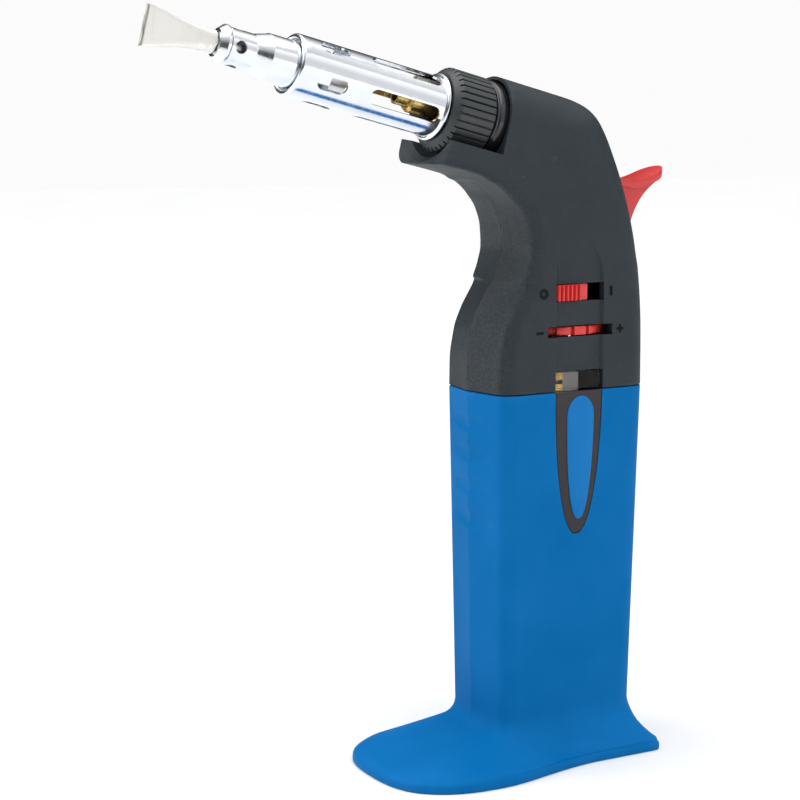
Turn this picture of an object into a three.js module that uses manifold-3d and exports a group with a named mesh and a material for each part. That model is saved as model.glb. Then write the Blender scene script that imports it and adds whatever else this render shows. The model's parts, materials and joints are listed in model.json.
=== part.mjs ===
// Butane torch with a blade tip, in millimetres, +Z up.
// The origin is the centre of the base on the ground, the nozzle points to -X and the switches face -Y.
import * as THREE from 'three';
import { mergeVertices } from 'three/addons/utils/BufferGeometryUtils.js';
import Module from 'manifold-3d';

const wasm = await Module();
wasm.setup();

// ---------------------------------------------------------------- driving dimensions
const gap = 0.3; // clearance between neighbouring pieces
const wall = 2.0; // moulded wall of the head and the grip

const joinZ = 96.6; // the head meets the grip
const lipDepth = 3.2; // how far the head's lip reaches into the grip
const lipThickness = 1.2;
const gripFront = -23.4; // ridge of the grip at the join
const gripRear = 23.9;
const gripHalf = 13.9;
const draftAlong = 0.0195; // how much the grip narrows for each millimetre down
const draftAcross = 0.014;
const facetDepth = 1.93; // the front ridge falls back this much across each facet
const bandDepth = 5.5; // and this much at the side face
const facetShare = 0.878; // share of the half width that the facet takes
const rearRadius = 6.3;

const flareTop = 13; // the foot starts to flare out here
const rimHeight = 2.6;
const footCentreX = -4;

const nozzleTilt = THREE.MathUtils.degToRad(13.9);
const hoodCentre = new THREE.Vector3(-18.8, 0, 163.6);
const hoodRadius = 11.75;
const hoodBore = 10.6;
const noseReach = 15.4; // how far the cradle runs under the collar
const troughRadius = 12.1; // the cradle's hollow, round the nozzle axis
const cradleTop = -8; // the cradle's side edges, below the nozzle axis
const noseDrop = -14.1; // the cradle's bottom, below the nozzle axis

const knobStart = 3.1;
const knobEnd = 14.95;
const knobRadius = 10.5;
const knobRibs = 36;
const barrelRadius = 7.5;
const barrelEnd = 56.2;
const slotCount = 5;
const firstSlotAngle = THREE.MathUtils.degToRad(-111);
const sleeveEnd = 72.9;
const bladeEnd = 93.2;
const insulatorUp = 5.1; // above the nozzle axis

const channelX = [-5.9, 8.75]; // shallow channel down the switch side
const channelDepth = 0.8;
const channelTop = 134;
const sliderZ = [119.2, 123.7];
const wheelCentreX = 1.9;
const wheelRadius = 13.4;
const wheelZ = [110.6, 112.8];
const wheelSlotX = [-8.4, 11.5];
const windowTop = 101.6;
const tongueTip = 59.6;
const tongueHalf = 7.1;
const tongueX = (channelX[0] + channelX[1]) / 2;

const plateTop = 1.8;
const fillerX = 12;
const fillerRadius = 4.6;
const tankInset = 2.8; // the tank's outside, below the grip's surface
const tankZ = [14, 90];
const labelX = tongueX + 0.5;
const labelHalf = 4.1;
const labelZ = [63.4, 95.2];

const triggerHalf = 5;
const piezoX = 12.7;
const piezoTop = 129;
const pinY = 8; // the gas lever turns about this pin
const pinZ = 116;

// ---------------------------------------------------------------- materials
const finish = (color, roughness, metalness = 0) =>
  new THREE.MeshStandardMaterial({ color, roughness, metalness });
const bluePlastic = finish(0x0a72b8, 0.4);
const charcoal = finish(0x454c50, 0.6);
const blackPlastic = finish(0x16181a, 0.35);
const redPlastic = finish(0xcf2f2c, 0.4);
const smokyClear = finish(0x4a4246, 0.2);
const milkyPlastic = finish(0xb9bcb8, 0.5);
const chrome = finish(0xe8ecf0, 0.12, 1);
const steel = finish(0xb4b8bc, 0.3, 1);
const brass = finish(0xc9a54a, 0.3, 1);
const rubber = finish(0x202224, 0.8);
const ceramic = finish(0xf0ece2, 0.4);

// ---------------------------------------------------------------- solids
// A geometry's triangles with shared corners merged and no collapsed triangle, facing out.
function toManifold(geometry) {
  const bare = geometry.clone();
  bare.deleteAttribute('normal');
  bare.deleteAttribute('uv');
  const merged = mergeVertices(bare, 1e-4);
  const position = merged.attributes.position;
  const corners = [];
  for (let i = 0; i < merged.index.count; i += 3) {
    const [a, b, c] = [0, 1, 2].map((k) => merged.index.getX(i + k));
    if (a !== b && b !== c && c !== a) corners.push(a, b, c);
  }
  let volume = 0;
  const [p, q, r] = [new THREE.Vector3(), new THREE.Vector3(), new THREE.Vector3()];
  for (let i = 0; i < corners.length; i += 3) {
    p.fromBufferAttribute(position, corners[i]);
    q.fromBufferAttribute(position, corners[i + 1]);
    r.fromBufferAttribute(position, corners[i + 2]);
    volume += p.dot(q.cross(r));
  }
  if (volume < 0) corners.reverse();
  return new wasm.Manifold(
    new wasm.Mesh({
      numProp: 3,
      vertProperties: Float32Array.from(position.array),
      triVerts: Uint32Array.from(corners),
    }),
  );
}

function toGeometry(manifold) {
  const { vertProperties, triVerts } = manifold.getMesh();
  const geometry = new THREE.BufferGeometry();
  geometry.setAttribute('position', new THREE.BufferAttribute(vertProperties, 3));
  geometry.setIndex(new THREE.BufferAttribute(triVerts, 1));
  return geometry;
}

const join = (first, ...others) =>
  toGeometry(others.reduce((sum, other) => sum.add(toManifold(other)), toManifold(first)));
const cut = (body, ...tools) =>
  toGeometry(tools.reduce((rest, tool) => rest.subtract(toManifold(tool)), toManifold(body)));
const common = (first, second) => toGeometry(toManifold(first).intersect(toManifold(second)));

function piece(parent, name, geometry, material) {
  const mesh = new THREE.Mesh(toGeometry(toManifold(geometry)), material);
  mesh.name = name;
  mesh.geometry.computeVertexNormals();
  parent.add(mesh);
  return mesh;
}

// ---------------------------------------------------------------- basic shapes
function block([x0, x1], [y0, y1], [z0, z1]) {
  const geometry = new THREE.BoxGeometry(x1 - x0, y1 - y0, z1 - z0);
  return geometry.translate((x0 + x1) / 2, (y0 + y1) / 2, (z0 + z1) / 2);
}

function rod(radius, [z0, z1], x = 0, y = 0, segments = 20) {
  const geometry = new THREE.CylinderGeometry(radius, radius, z1 - z0, segments);
  return geometry.rotateX(Math.PI / 2).translate(x, y, (z0 + z1) / 2);
}

// A body turned about the Z axis from [radius, z] points.
function turned(points, segments = 24) {
  const profile = points.map(([radius, z]) => new THREE.Vector2(radius, z));
  return new THREE.LatheGeometry(profile, segments).rotateX(Math.PI / 2);
}

const ring = (outer, inner, [z0, z1], segments) =>
  turned([[inner, z0], [outer, z0], [outer, z1], [inner, z1], [inner, z0]], segments);

// A skin through rings of equal length, closed at both ends with a fan.
function loft(rings) {
  const count = rings[0].length;
  const points = rings.flat();
  const index = [];
  for (let i = 0; i + 1 < rings.length; i++) {
    for (let j = 0; j < count; j++) {
      const k = (j + 1) % count;
      const [a, b, c, d] = [i * count + j, i * count + k, (i + 1) * count + k, (i + 1) * count + j];
      index.push(a, b, c, a, c, d);
    }
  }
  const closeEnd = (start, outwards) => {
    const middle = new THREE.Vector3();
    for (let j = 0; j < count; j++) middle.addScaledVector(points[start + j], 1 / count);
    const centre = points.push(middle) - 1;
    for (let j = 0; j < count; j++) {
      const pair = [start + j, start + ((j + 1) % count)];
      index.push(centre, ...(outwards ? pair : pair.reverse()));
    }
  };
  closeEnd(0, false);
  closeEnd((rings.length - 1) * count, true);
  const geometry = new THREE.BufferGeometry().setFromPoints(points);
  return geometry.setIndex(index);
}

// A straight-sided outline of [a, b] points pushed along Y, with a on X and b on Z.
function sidePlate(outline, [y0, y1]) {
  const shape = new THREE.Shape(outline.map(([x, z]) => new THREE.Vector2(x, z)));
  const geometry = new THREE.ExtrudeGeometry(shape, { depth: y1 - y0, bevelEnabled: false });
  return geometry.rotateX(Math.PI / 2).translate(0, y1, 0);
}

function tubeAlong(curve, radius, steps, sides = 8, bore = 0) {
  const shape = new THREE.Shape();
  const circle = (size) =>
    Array.from({ length: sides }, (_, i) => {
      const angle = (i / sides) * 2 * Math.PI;
      return new THREE.Vector2(size * Math.cos(angle), size * Math.sin(angle));
    });
  shape.setFromPoints(circle(radius));
  if (bore) shape.holes.push(new THREE.Path().setFromPoints(circle(bore).reverse()));
  return new THREE.ExtrudeGeometry(shape, { steps, extrudePath: curve, bevelEnabled: false });
}

class Helix extends THREE.Curve {
  constructor(radius, [z0, z1], turns, x = 0, y = 0) {
    super();
    Object.assign(this, { radius, z0, z1, turns, x, y });
  }
  getPoint(t, target = new THREE.Vector3()) {
    const angle = 2 * Math.PI * this.turns * t;
    return target.set(
      this.x + this.radius * Math.cos(angle),
      this.y + this.radius * Math.sin(angle),
      this.z0 + (this.z1 - this.z0) * t,
    );
  }
}

// ---------------------------------------------------------------- the body's cross-section
// How far the skin falls back from the centre line at a distance across the body.
const roundedFall = (across, half, radius) => {
  const past = Math.min(radius, Math.max(0, across - (half - radius)));
  return radius - Math.sqrt(radius * radius - past * past);
};

// Half of one section from the front ridge to the rear, as [along, across] pairs. The front is two
// facets with a bevelled corner, or rounded to a radius where front.radius is given.
function halfSection({ length, half, front, rear, frontSlant = 1, rearSlant = 1 }) {
  const points = [];
  if (front.radius) {
    for (const share of [0, 0.4, 0.7, 0.82, 0.91, 0.97, 1]) {
      points.push([roundedFall(share * half, half, front.radius) * frontSlant, share * half]);
    }
  } else {
    const { facet, band, share: end } = front;
    points.push([0, 0]);
    points.push([0.5 * facet * frontSlant, 0.5 * end * half]);
    points.push([(facet - 0.12) * frontSlant, (end - 0.03) * half]);
    points.push([(facet + 0.1 * (band - facet)) * frontSlant, (end + 0.3 * (1 - end)) * half]);
    points.push([(facet + 0.4 * (band - facet)) * frontSlant, (end + 0.65 * (1 - end)) * half]);
    points.push([(facet + 0.8 * (band - facet)) * frontSlant, (end + 0.93 * (1 - end)) * half]);
    points.push([(band + 0.3) * frontSlant, half]);
  }
  const sideStart = points.at(-1)[0];
  const sideEnd = length - rear * rearSlant;
  points.push([sideStart + 0.5 * (sideEnd - sideStart), half]);
  const arcSteps = 5;
  for (let i = 0; i <= arcSteps; i++) {
    const angle = (0.5 * Math.PI * i) / arcSteps;
    const across = half - rear + rear * Math.cos(angle);
    points.push([length - (rear - rear * Math.sin(angle)) * rearSlant, across]);
  }
  points.push([length, 0]);
  return points;
}

// ---------------------------------------------------------------- grip and foot
const gripSize = (z, inset = 0) => {
  const drop = joinZ - z;
  return {
    front: gripFront + draftAlong * drop + inset,
    rear: gripRear - draftAlong * drop - inset,
    half: gripHalf - draftAcross * drop - inset,
  };
};

function gripOutline(z, inset = 0) {
  const { front, rear, half } = gripSize(z, inset);
  const points = halfSection({
    length: rear - front,
    half,
    front: { facet: facetDepth, band: bandDepth, share: facetShare },
    rear: rearRadius - inset,
  });
  return points.map(([along, across]) => new THREE.Vector2(front + along, across));
}

// Half of the foot's outline on the ground: a broad toe, a waist and a square heel.
function footOutline() {
  const shape = new THREE.Shape();
  shape.moveTo(-51.6, 0);
  shape.bezierCurveTo(-51.6, 8.5, -50.4, 13.8, -46.3, 17.6);
  shape.bezierCurveTo(-41, 22.4, -34, 23.9, -26, 23.9);
  shape.bezierCurveTo(-18, 24, -9, 20.3, 4, 19.8);
  shape.lineTo(22.6, 20.4);
  shape.bezierCurveTo(24.6, 20.5, 25.2, 19.6, 25.4, 18);
  shape.bezierCurveTo(26.4, 11, 26.9, 6, 27, 0);
  return shape.getPoints(10);
}

// Distance from the foot's centre to an outline in one direction.
function reach(outline, angle) {
  const direction = new THREE.Vector2(Math.cos(angle), Math.sin(angle));
  let best = 0;
  for (let i = 0; i + 1 < outline.length; i++) {
    const a = outline[i].clone();
    const edge = outline[i + 1].clone().sub(a);
    a.x -= footCentreX;
    const turn = direction.cross(edge);
    if (Math.abs(turn) < 1e-9) continue;
    const share = -direction.cross(a) / turn;
    const distance = a.cross(edge) / turn;
    if (share >= -1e-6 && share <= 1 + 1e-6) best = Math.max(best, distance);
  }
  return best;
}

// Directions for the rings, with the section's own corners among them.
function ringAngles() {
  const corner = (share, depth) => {
    const { front, half } = gripSize(flareTop);
    return Math.atan2(share * half, front + depth - footCentreX);
  };
  const facetEnd = corner(facetShare, facetDepth);
  const bandEnd = corner(1, bandDepth);
  const heel = Math.atan2(19.9, 24.9 - footCentreX);
  const stretch = (from, to, steps) =>
    Array.from({ length: steps }, (_, i) => from + ((to - from) * i) / steps);
  return [
    ...stretch(Math.PI, facetEnd, 4),
    ...stretch(facetEnd, bandEnd, 2),
    ...stretch(bandEnd, heel, 7),
    ...stretch(heel, 0, 5),
    0,
  ];
}

function ringFromHalf(half, z) {
  const upper = half.map(([x, y]) => new THREE.Vector3(x, y, z));
  const lower = half.slice(1, -1).reverse().map(([x, y]) => new THREE.Vector3(x, -y, z));
  return [...upper, ...lower];
}

const ringFromReach = (angles, distances, z) =>
  ringFromHalf(
    angles.map((angle, i) => [
      footCentreX + distances[i] * Math.cos(angle),
      distances[i] * Math.sin(angle),
    ]),
    z,
  );

// How straight the foot's slope is in a direction: 1 at the toe and the heel, 0 at the sides.
function rampWeight(angle) {
  const forward = -Math.cos(angle);
  const toe = THREE.MathUtils.smoothstep(forward, -0.1, 0.95);
  return Math.max(toe, THREE.MathUtils.smoothstep(-forward, 0.4, 0.8));
}

// The foot's height at a share of the way out: a ramp, or a hollow curve, or between the two.
function flareHeight(share, weight) {
  const left = 1 - share;
  const ramp = 0.7 * left + 0.3 * left ** 9;
  const hollow = left ** 2.3;
  return rimHeight + (flareTop - rimHeight) * (weight * ramp + (1 - weight) * hollow);
}

// Rings of the grip from the ground up, drawn in by inset for the hollow inside it.
function gripRings(inset) {
  const angles = ringAngles();
  const ground = footOutline();
  const rim = angles.map((angle) => reach(ground, angle) - inset);
  const base = angles.map((angle) => reach(gripOutline(flareTop, inset), angle));
  const weights = angles.map(rampWeight);
  const lowest = inset ? plateTop + gap : 0;
  const rings = inset
    ? [ringFromReach(angles, rim, -1), ringFromReach(angles, rim, lowest)]
    : [ringFromReach(angles, rim, 0), ringFromReach(angles, rim, rimHeight - 0.5)];
  const shares = inset ? [0.8, 0.6, 0.4, 0.22, 0.1] : [0.985, 0.85, 0.68, 0.5, 0.34, 0.2, 0.1, 0.03];
  for (const share of shares) {
    const half = angles.map((angle, i) => {
      const distance = base[i] + share * (rim[i] - base[i]);
      const height = flareHeight(share, weights[i]) - inset;
      const raised = Math.max(lowest + 0.15 * (1 - share), height);
      const x = footCentreX + distance * Math.cos(angle);
      return new THREE.Vector3(x, distance * Math.sin(angle), raised);
    });
    const mirror = half.slice(1, -1).reverse().map((p) => new THREE.Vector3(p.x, -p.y, p.z));
    rings.push([...half, ...mirror]);
  }
  for (const z of [flareTop, inset ? joinZ + 4 : joinZ - gap / 2]) {
    const outline = gripOutline(Math.min(z, joinZ), inset);
    rings.push(ringFromReach(angles, angles.map((angle) => reach(outline, angle)), z));
  }
  return rings;
}

// A straight well inside the grip, from one height to another.
function gripWell(inset, [z0, z1]) {
  const ringAt = (z) => ringFromHalf(gripOutline(Math.min(z, joinZ), inset).map((p) => [p.x, p.y]), z);
  return loft([ringAt(z0), ringAt(z1)]);
}

// A skin of the grip's straight part, between two depths below its surface.
const gripSkin = (outer, inner) =>
  cut(gripWell(outer, [50, joinZ - gap / 2]), gripWell(inner, [48, joinZ + 2]));

// The tongue window's outline seen from the side, as [x, z] points.
function tongueOutline(grow, top) {
  const half = tongueHalf + grow;
  const tip = tongueTip - grow;
  const steps = 8;
  const side = Array.from({ length: steps + 1 }, (_, i) => {
    const angle = (0.5 * Math.PI * i) / steps;
    return [half * Math.cos(angle) ** 0.86, tip + (joinZ - tip) * (1 - Math.sin(angle)) ** 0.95];
  });
  const right = side.map(([x, z], i) => [tongueX + x, i === 0 ? top : z]);
  const left = side.slice(0, -1).reverse().map(([x, z]) => [tongueX - x, z]);
  left[left.length - 1][1] = top;
  return [...right, ...left];
}

// Four shallow finger hollows cross the front ridge, with one dish along each facet.
const fingerHollows = [88.3, 80.2, 72.0, 63.5];
const hollowDepth = 0.55;
const hollowHalfWidth = 8.9;
const hollowHalfHeight = 2.35;
function fingerHollow(z) {
  const facetFall = Math.atan2(facetDepth, facetShare * gripHalf);
  return [-facetFall, facetFall].map((turn) => {
    const dish = new THREE.SphereGeometry(1, 20, 12);
    dish.scale(hollowDepth, hollowHalfWidth, hollowHalfHeight);
    return dish.rotateZ(turn).translate(gripSize(z).front, 0, z);
  });
}

// Posts under the toe take the base plate's screws.
const basePosts = [
  [-33, -9],
  [-33, 9],
];

function gripShell() {
  const posts = basePosts.map(([x, y]) => rod(2.4, [plateTop + gap, 5.5], x, y, 14));
  const pilots = basePosts.map(([x, y]) => rod(1.2, [0, 4.6], x, y, 12));
  const hollow = cut(loft(gripRings(0)), loft(gripRings(wall)));
  return cut(
    join(hollow, ...posts),
    ...pilots,
    ...fingerHollows.flatMap(fingerHollow),
    sidePlate(tongueOutline(gap, joinZ + 5), [-20, -9]),
  );
}

function basePlate() {
  const outline = footOutline();
  const inset = wall + gap;
  const angles = ringAngles();
  const distances = angles.map((angle) => reach(outline, angle) - inset);
  const plate = loft([ringFromReach(angles, distances, 0), ringFromReach(angles, distances, plateTop)]);
  const holes = basePosts.map(([x, y]) => rod(1.5, [-1, 4], x, y, 14));
  const sinks = basePosts.map(([x, y]) => rod(2.9, [-1, 0.9], x, y, 16));
  return cut(plate, rod(fillerRadius + gap, [-1, 4], fillerX, 0, 20), ...holes, ...sinks);
}

function baseScrew([x, y]) {
  const shank = rod(0.95, [0.5, 4.3], x, y, 12);
  const head = rod(2.6, [0.15, 0.75], x, y, 16);
  return cut(join(shank, head), block([x - 1.6, x + 1.6], [y - 0.3, y + 0.3], [-1, 0.35]));
}

function levelWindow() {
  const window = sidePlate(tongueOutline(0, joinZ - gap / 2), [-20, -9]);
  const inset = cut(sidePlate(labelOutline(0.2), [-20, -9]), gripWell(0.7, [48, joinZ + 2]));
  return cut(common(gripSkin(0.12, wall - 0.1), window), common(gripWell(-1, [50, joinZ]), inset));
}

const labelPlate = () => common(gripSkin(-0.05, 0.45), sidePlate(labelOutline(0), [-20, -9]));

// The inset on the tongue: round at the top, tapering to a soft point.
function labelOutline(grow) {
  const half = labelHalf + grow;
  const [tip, shoulder] = [labelZ[0] - grow, labelZ[1] - labelHalf - 1];
  const steps = 8;
  const taper = Array.from({ length: steps }, (_, i) => {
    const angle = (0.5 * Math.PI * i) / steps;
    return [half * Math.cos(angle) ** 0.8, tip + (shoulder - tip) * (1 - Math.sin(angle)) ** 0.95];
  });
  const crown = Array.from({ length: steps }, (_, i) => {
    const angle = (0.5 * Math.PI * (i + 1)) / steps;
    return [half * Math.cos(angle), shoulder + (labelZ[1] + grow - shoulder) * Math.sin(angle)];
  });
  const right = [...taper.reverse(), ...crown];
  const side = right.slice(0, -1).filter(([x]) => x > 1e-6);
  const left = side.map(([x, z]) => [-x, z]).reverse();
  return [[0, tip], ...side, right.at(-1), ...left].map(([x, z]) => [labelX + x, z]);
}

// ---------------------------------------------------------------- fuel
function fuelTank() {
  const outer = gripWell(tankInset, tankZ);
  const inner = gripWell(tankInset + 1.3, [tankZ[0] + 1.5, tankZ[1] + 3]);
  return cut(outer, inner, rod(1.8, [0, 30], fillerX, 0, 16));
}

const tankLid = () =>
  cut(gripWell(tankInset, [tankZ[1] + gap, tankZ[1] + 2.4]), rod(2.9, [0, 120], wheelCentreX, 0, 18));

const fillerBody = () =>
  turned(
    [[2.2, 2.2], [4.2, 2.2], [4.2, 7], [3.2, 7.6], [3.2, tankZ[0] - gap], [1.3, tankZ[0] - gap], [1.3, 10],
      [2.2, 10], [2.2, 2.2]],
    20,
  ).translate(fillerX, 0, 0);

const fillerStem = () =>
  turned([[0, 2.6], [0.9, 2.6], [0.9, 4.4], [1.8, 4.4], [1.8, 5.2], [0.9, 5.2], [0.9, 9.6], [0, 9.6]], 16)
    .translate(fillerX, 0, 0);

// A holder clamps the valve, with an ear for its two square-headed screws.
const holderScrewX = -3.2;
const holderScrewZ = [97.3, 100.2];
const alongY = (radius, length, x, y, z) =>
  new THREE.CylinderGeometry(radius, radius, length, 12).translate(x, y, z);

function valveHolder() {
  const body = block([-1.9, 2.9], [-11, -6], [93, 101]);
  const ear = block([-4.6, -1.8], [-9.4, -8.2], [95.6, 101.2]);
  const holes = holderScrewZ.map((z) => alongY(0.8, 4, holderScrewX, -8.8, z));
  return cut(join(body, ear), ...holes);
}

function holderScrew(z) {
  const head = block([holderScrewX - 1.05, holderScrewX + 1.05], [-11.3, -9.7], [z - 0.9, z + 0.9]);
  return join(head, alongY(0.5, 3, holderScrewX, -8.4, z));
}

// ---------------------------------------------------------------- head
// Stations run from the join, round the neck and out to the nose. Each gives the front and rear
// points of one section as [x, z], its half width, the shape of its front and its rear corner radius.
const nozzlePoint = (along, up) => [
  hoodCentre.x - along * Math.cos(nozzleTilt) + up * Math.sin(nozzleTilt),
  hoodCentre.z + along * Math.sin(nozzleTilt) + up * Math.cos(nozzleTilt),
];
const station = (front, rear, half, facet, band, share, rearR) => ({
  front,
  rear,
  half,
  face: { facet, band, share },
  rearR,
});
const roundStation = (front, rear, half, radius, rearR) => ({
  front,
  rear,
  half,
  face: { radius },
  rearR,
});
const joinTop = joinZ + gap / 2;
const headStations = [
  station([gripFront, joinTop], [gripRear, joinTop], 13.9, facetDepth, bandDepth, facetShare, rearRadius),
  station([-23.5, 104], [23.85, 104], 13.9, 2.2, 5.5, 0.878, 6.3),
  station([-22.7, 111.2], [23.7, 112], 13.9, 2.6, 5.6, 0.88, 6.3),
  station([-20.6, 117], [23.3, 120], 13.85, 2.6, 5.6, 0.885, 6.4),
  station([-17.2, 122.6], [22.6, 127.5], 13.75, 2.3, 5.2, 0.89, 6.6),
  station([-15.9, 124.6], [22.2, 130], 13.7, 1.25, 4.6, 0.9, 6.8),
  station([-14.1, 128.6], [21.6, 134], 13.55, 1.05, 4.2, 0.91, 6.9),
  station([-13.2, 132.6], [20.8, 138.5], 13.35, 0.95, 3.9, 0.92, 7.1),
  station([-13.6, 137.4], [19.6, 144], 13.05, 0.9, 3.7, 0.92, 7.4),
  station([-15.2, 141.8], [18.0, 150], 12.7, 0.9, 3.6, 0.92, 7.9),
  roundStation([-17.4, 145.4], [16.1, 156.3], 12.3, 3.4, 8.8),
  roundStation([-19.2, 147.2], [14.4, 161], 12.1, 3.4, 9.6),
  roundStation([-20.2, 148.0], [12.4, 165], 12, 3.4, 10.6),
  roundStation([-20.8, 148.4], [9.9, 167.6], 11.9, 3.4, 11.3),
  roundStation([-21.4, 148.8], [6.4, 169.3], 11.85, 3.4, 11.6),
  roundStation([-22.3, 149.2], nozzlePoint(-16, hoodRadius), 11.8, 3.4, 11.75),
  roundStation([-23.4, 149.6], nozzlePoint(-8, hoodRadius), 11.75, 3.4, 11.75),
  roundStation(nozzlePoint(3, noseDrop), nozzlePoint(3, hoodRadius), 11.75, 3.4, 11.75),
  roundStation(nozzlePoint(20, noseDrop), nozzlePoint(20, hoodRadius), 11.75, 3.4, 11.75),
];

// One over the cosine between a section's chord and the outline's normal at its end.
function slantAt(stations, i, side) {
  const before = stations[Math.max(0, i - 1)][side];
  const after = stations[Math.min(stations.length - 1, i + 1)][side];
  const tangent = new THREE.Vector2(after[0] - before[0], after[1] - before[1]).normalize();
  const { front, rear } = stations[i];
  const chord = new THREE.Vector2(rear[0] - front[0], rear[1] - front[1]).normalize();
  return 1 / Math.max(0.62, Math.abs(chord.cross(tangent)));
}

// Rings of one half of the head: from the middle plane round the side at +Y.
function headRings(stations, inset, middle) {
  return stations.map((station, i) => {
    const front = new THREE.Vector2(...station.front);
    const rear = new THREE.Vector2(...station.rear);
    const chord = rear.clone().sub(front).normalize();
    const frontSlant = slantAt(stations, i, 'front');
    const rearSlant = slantAt(stations, i, 'rear');
    front.addScaledVector(chord, inset * frontSlant);
    rear.addScaledVector(chord, -inset * rearSlant);
    const points = halfSection({
      length: rear.distanceTo(front),
      half: station.half - inset,
      front: station.face.radius ? { radius: station.face.radius - 0.5 * inset } : station.face,
      rear: station.rearR - inset,
      frontSlant,
      rearSlant,
    });
    return points.map(
      ([along, across]) =>
        new THREE.Vector3(
          front.x + along * chord.x,
          Math.max(middle, across),
          front.y + along * chord.y,
        ),
    );
  });
}

const nozzle = new THREE.Group();
nozzle.position.copy(hoodCentre);
nozzle.rotation.y = nozzleTilt - Math.PI / 2;
nozzle.updateMatrixWorld();
const onNozzle = (geometry) => geometry.clone().applyMatrix4(nozzle.matrix);

function headCavity() {
  const inner = headStations.slice(0, 17);
  const [floor] = inner;
  const below = { ...floor, front: [floor.front[0], joinZ - 2], rear: [floor.rear[0], joinZ - 2] };
  return loft(headRings([below, ...inner], wall, -1));
}

const nozzleCuts = () => [
  onNozzle(block([cradleTop, 30], [-30, 30], [0, 40])), // open above the cradle
  onNozzle(block([-30, 30], [-30, 30], [noseReach, 40])), // the cradle's front face
  onNozzle(rod(troughRadius, [0, 40], 0, 0, 40)), // trough for the collar
  onNozzle(rod(hoodBore, [-5.8, 1], 0, 0, 40)), // bore for the socket
  onNozzle(rod(5.6, [-14, 1], 0, 0, 24)), // way through for the gas
];

const mirrored = (geometry) => geometry.clone().scale(1, -1, 1);

const triggerSlot = () => block([8, 40], [-triggerHalf - gap, triggerHalf + gap], [131.2, 152.8]);
const wheelSlot = (side) =>
  block(wheelSlotX, side < 0 ? [-20, -9] : [9, 20], [wheelZ[0] - gap, wheelZ[1] + gap]);

// The lip hangs from the inside of the head's wall and fits into the grip.
function joinLip() {
  const outer = wall + 2 * gap;
  const hanging = gripWell(outer, [joinZ - lipDepth, joinTop + 1]);
  const shoulder = gripWell(wall - 0.5, [joinTop, joinTop + 1.8]);
  const inside = gripWell(outer + lipThickness, [joinZ - lipDepth - 1, joinTop + 3]);
  const ring = cut(join(hanging, shoulder), inside);
  return common(ring, block([-40, 40], [gap / 2, 20], [80, 110]));
}

function headHalf() {
  const outer = loft(headRings(headStations, 0, gap / 2));
  return join(cut(outer, headCavity(), ...nozzleCuts(), triggerSlot()), joinLip());
}

// Screw bosses stand on the left half's inner wall, and pillars on the right one meet them.
const headScrews = [
  [-9.5, 106.5],
  [18.6, 106],
  [-4.4, 150],
];
const leverRibs = [
  [-3.6, -1.6],
  [5.4, 7.4],
];

function headLeft() {
  const bosses = headScrews.map(([x, z]) =>
    new THREE.CylinderGeometry(2.6, 2.6, 11.6, 14).translate(x, 0.3 + 5.8, z),
  );
  const ribs = leverRibs.map((range) => block(range, [6.2, 12.6], [pinZ - 2.4, pinZ + 2.4]));
  const pinHole = new THREE.CylinderGeometry(1.2, 1.2, 14, 12).rotateZ(Math.PI / 2);
  const holes = headScrews.flatMap(([x, z]) => [
    new THREE.CylinderGeometry(1.4, 1.4, 40, 12).translate(x, 10, z),
    new THREE.CylinderGeometry(2.3, 2.3, 10, 16).translate(x, 10.2 + 5, z),
  ]);
  return cut(
    join(headHalf(), ...bosses, ...ribs),
    pinHole.translate(wheelCentreX, pinY, pinZ),
    ...holes,
    wheelSlot(1),
  );
}

// The channel's arched outline on the switch side, as [x, z] points.
function channelOutline() {
  const [x0, x1] = channelX;
  const steps = 8;
  const arch = Array.from({ length: steps + 1 }, (_, i) => {
    const angle = (Math.PI * i) / steps;
    const middle = (x0 + x1) / 2;
    return [middle + 0.5 * (x1 - x0) * Math.cos(angle), channelTop - 11 + 11 * Math.sin(angle)];
  });
  return [[x0, 90], [x1, 90], ...arch];
}

function headRight() {
  const pillars = headScrews.map(([x, z]) =>
    new THREE.CylinderGeometry(2.2, 2.2, 11.6, 14).translate(x, -0.3 - 5.8, z),
  );
  const pilots = headScrews.map(([x, z]) =>
    new THREE.CylinderGeometry(1.15, 1.15, 9, 12).translate(x, -4.4, z),
  );
  return cut(
    join(mirrored(headHalf()), ...pillars),
    ...pilots,
    sidePlate(channelOutline(), [-20, -gripHalf + channelDepth]),
    block([channelX[0], channelX[1]], [-20, -9], sliderZ),
    wheelSlot(-1),
    block([channelX[0], channelX[1]], [-20, -9], [90, windowTop]),
  );
}

function headScrew([x, z]) {
  const shank = new THREE.CylinderGeometry(0.95, 0.95, 14.6, 12).translate(x, 3.2, z);
  const head = new THREE.CylinderGeometry(2.0, 2.0, 1.6, 16).translate(x, 11.2, z);
  const crossA = block([x - 1.3, x + 1.3], [11.2, 13], [z - 0.25, z + 0.25]);
  const crossB = block([x - 0.25, x + 0.25], [11.2, 13], [z - 1.3, z + 1.3]);
  return cut(join(shank, head), crossA, crossB);
}

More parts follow.
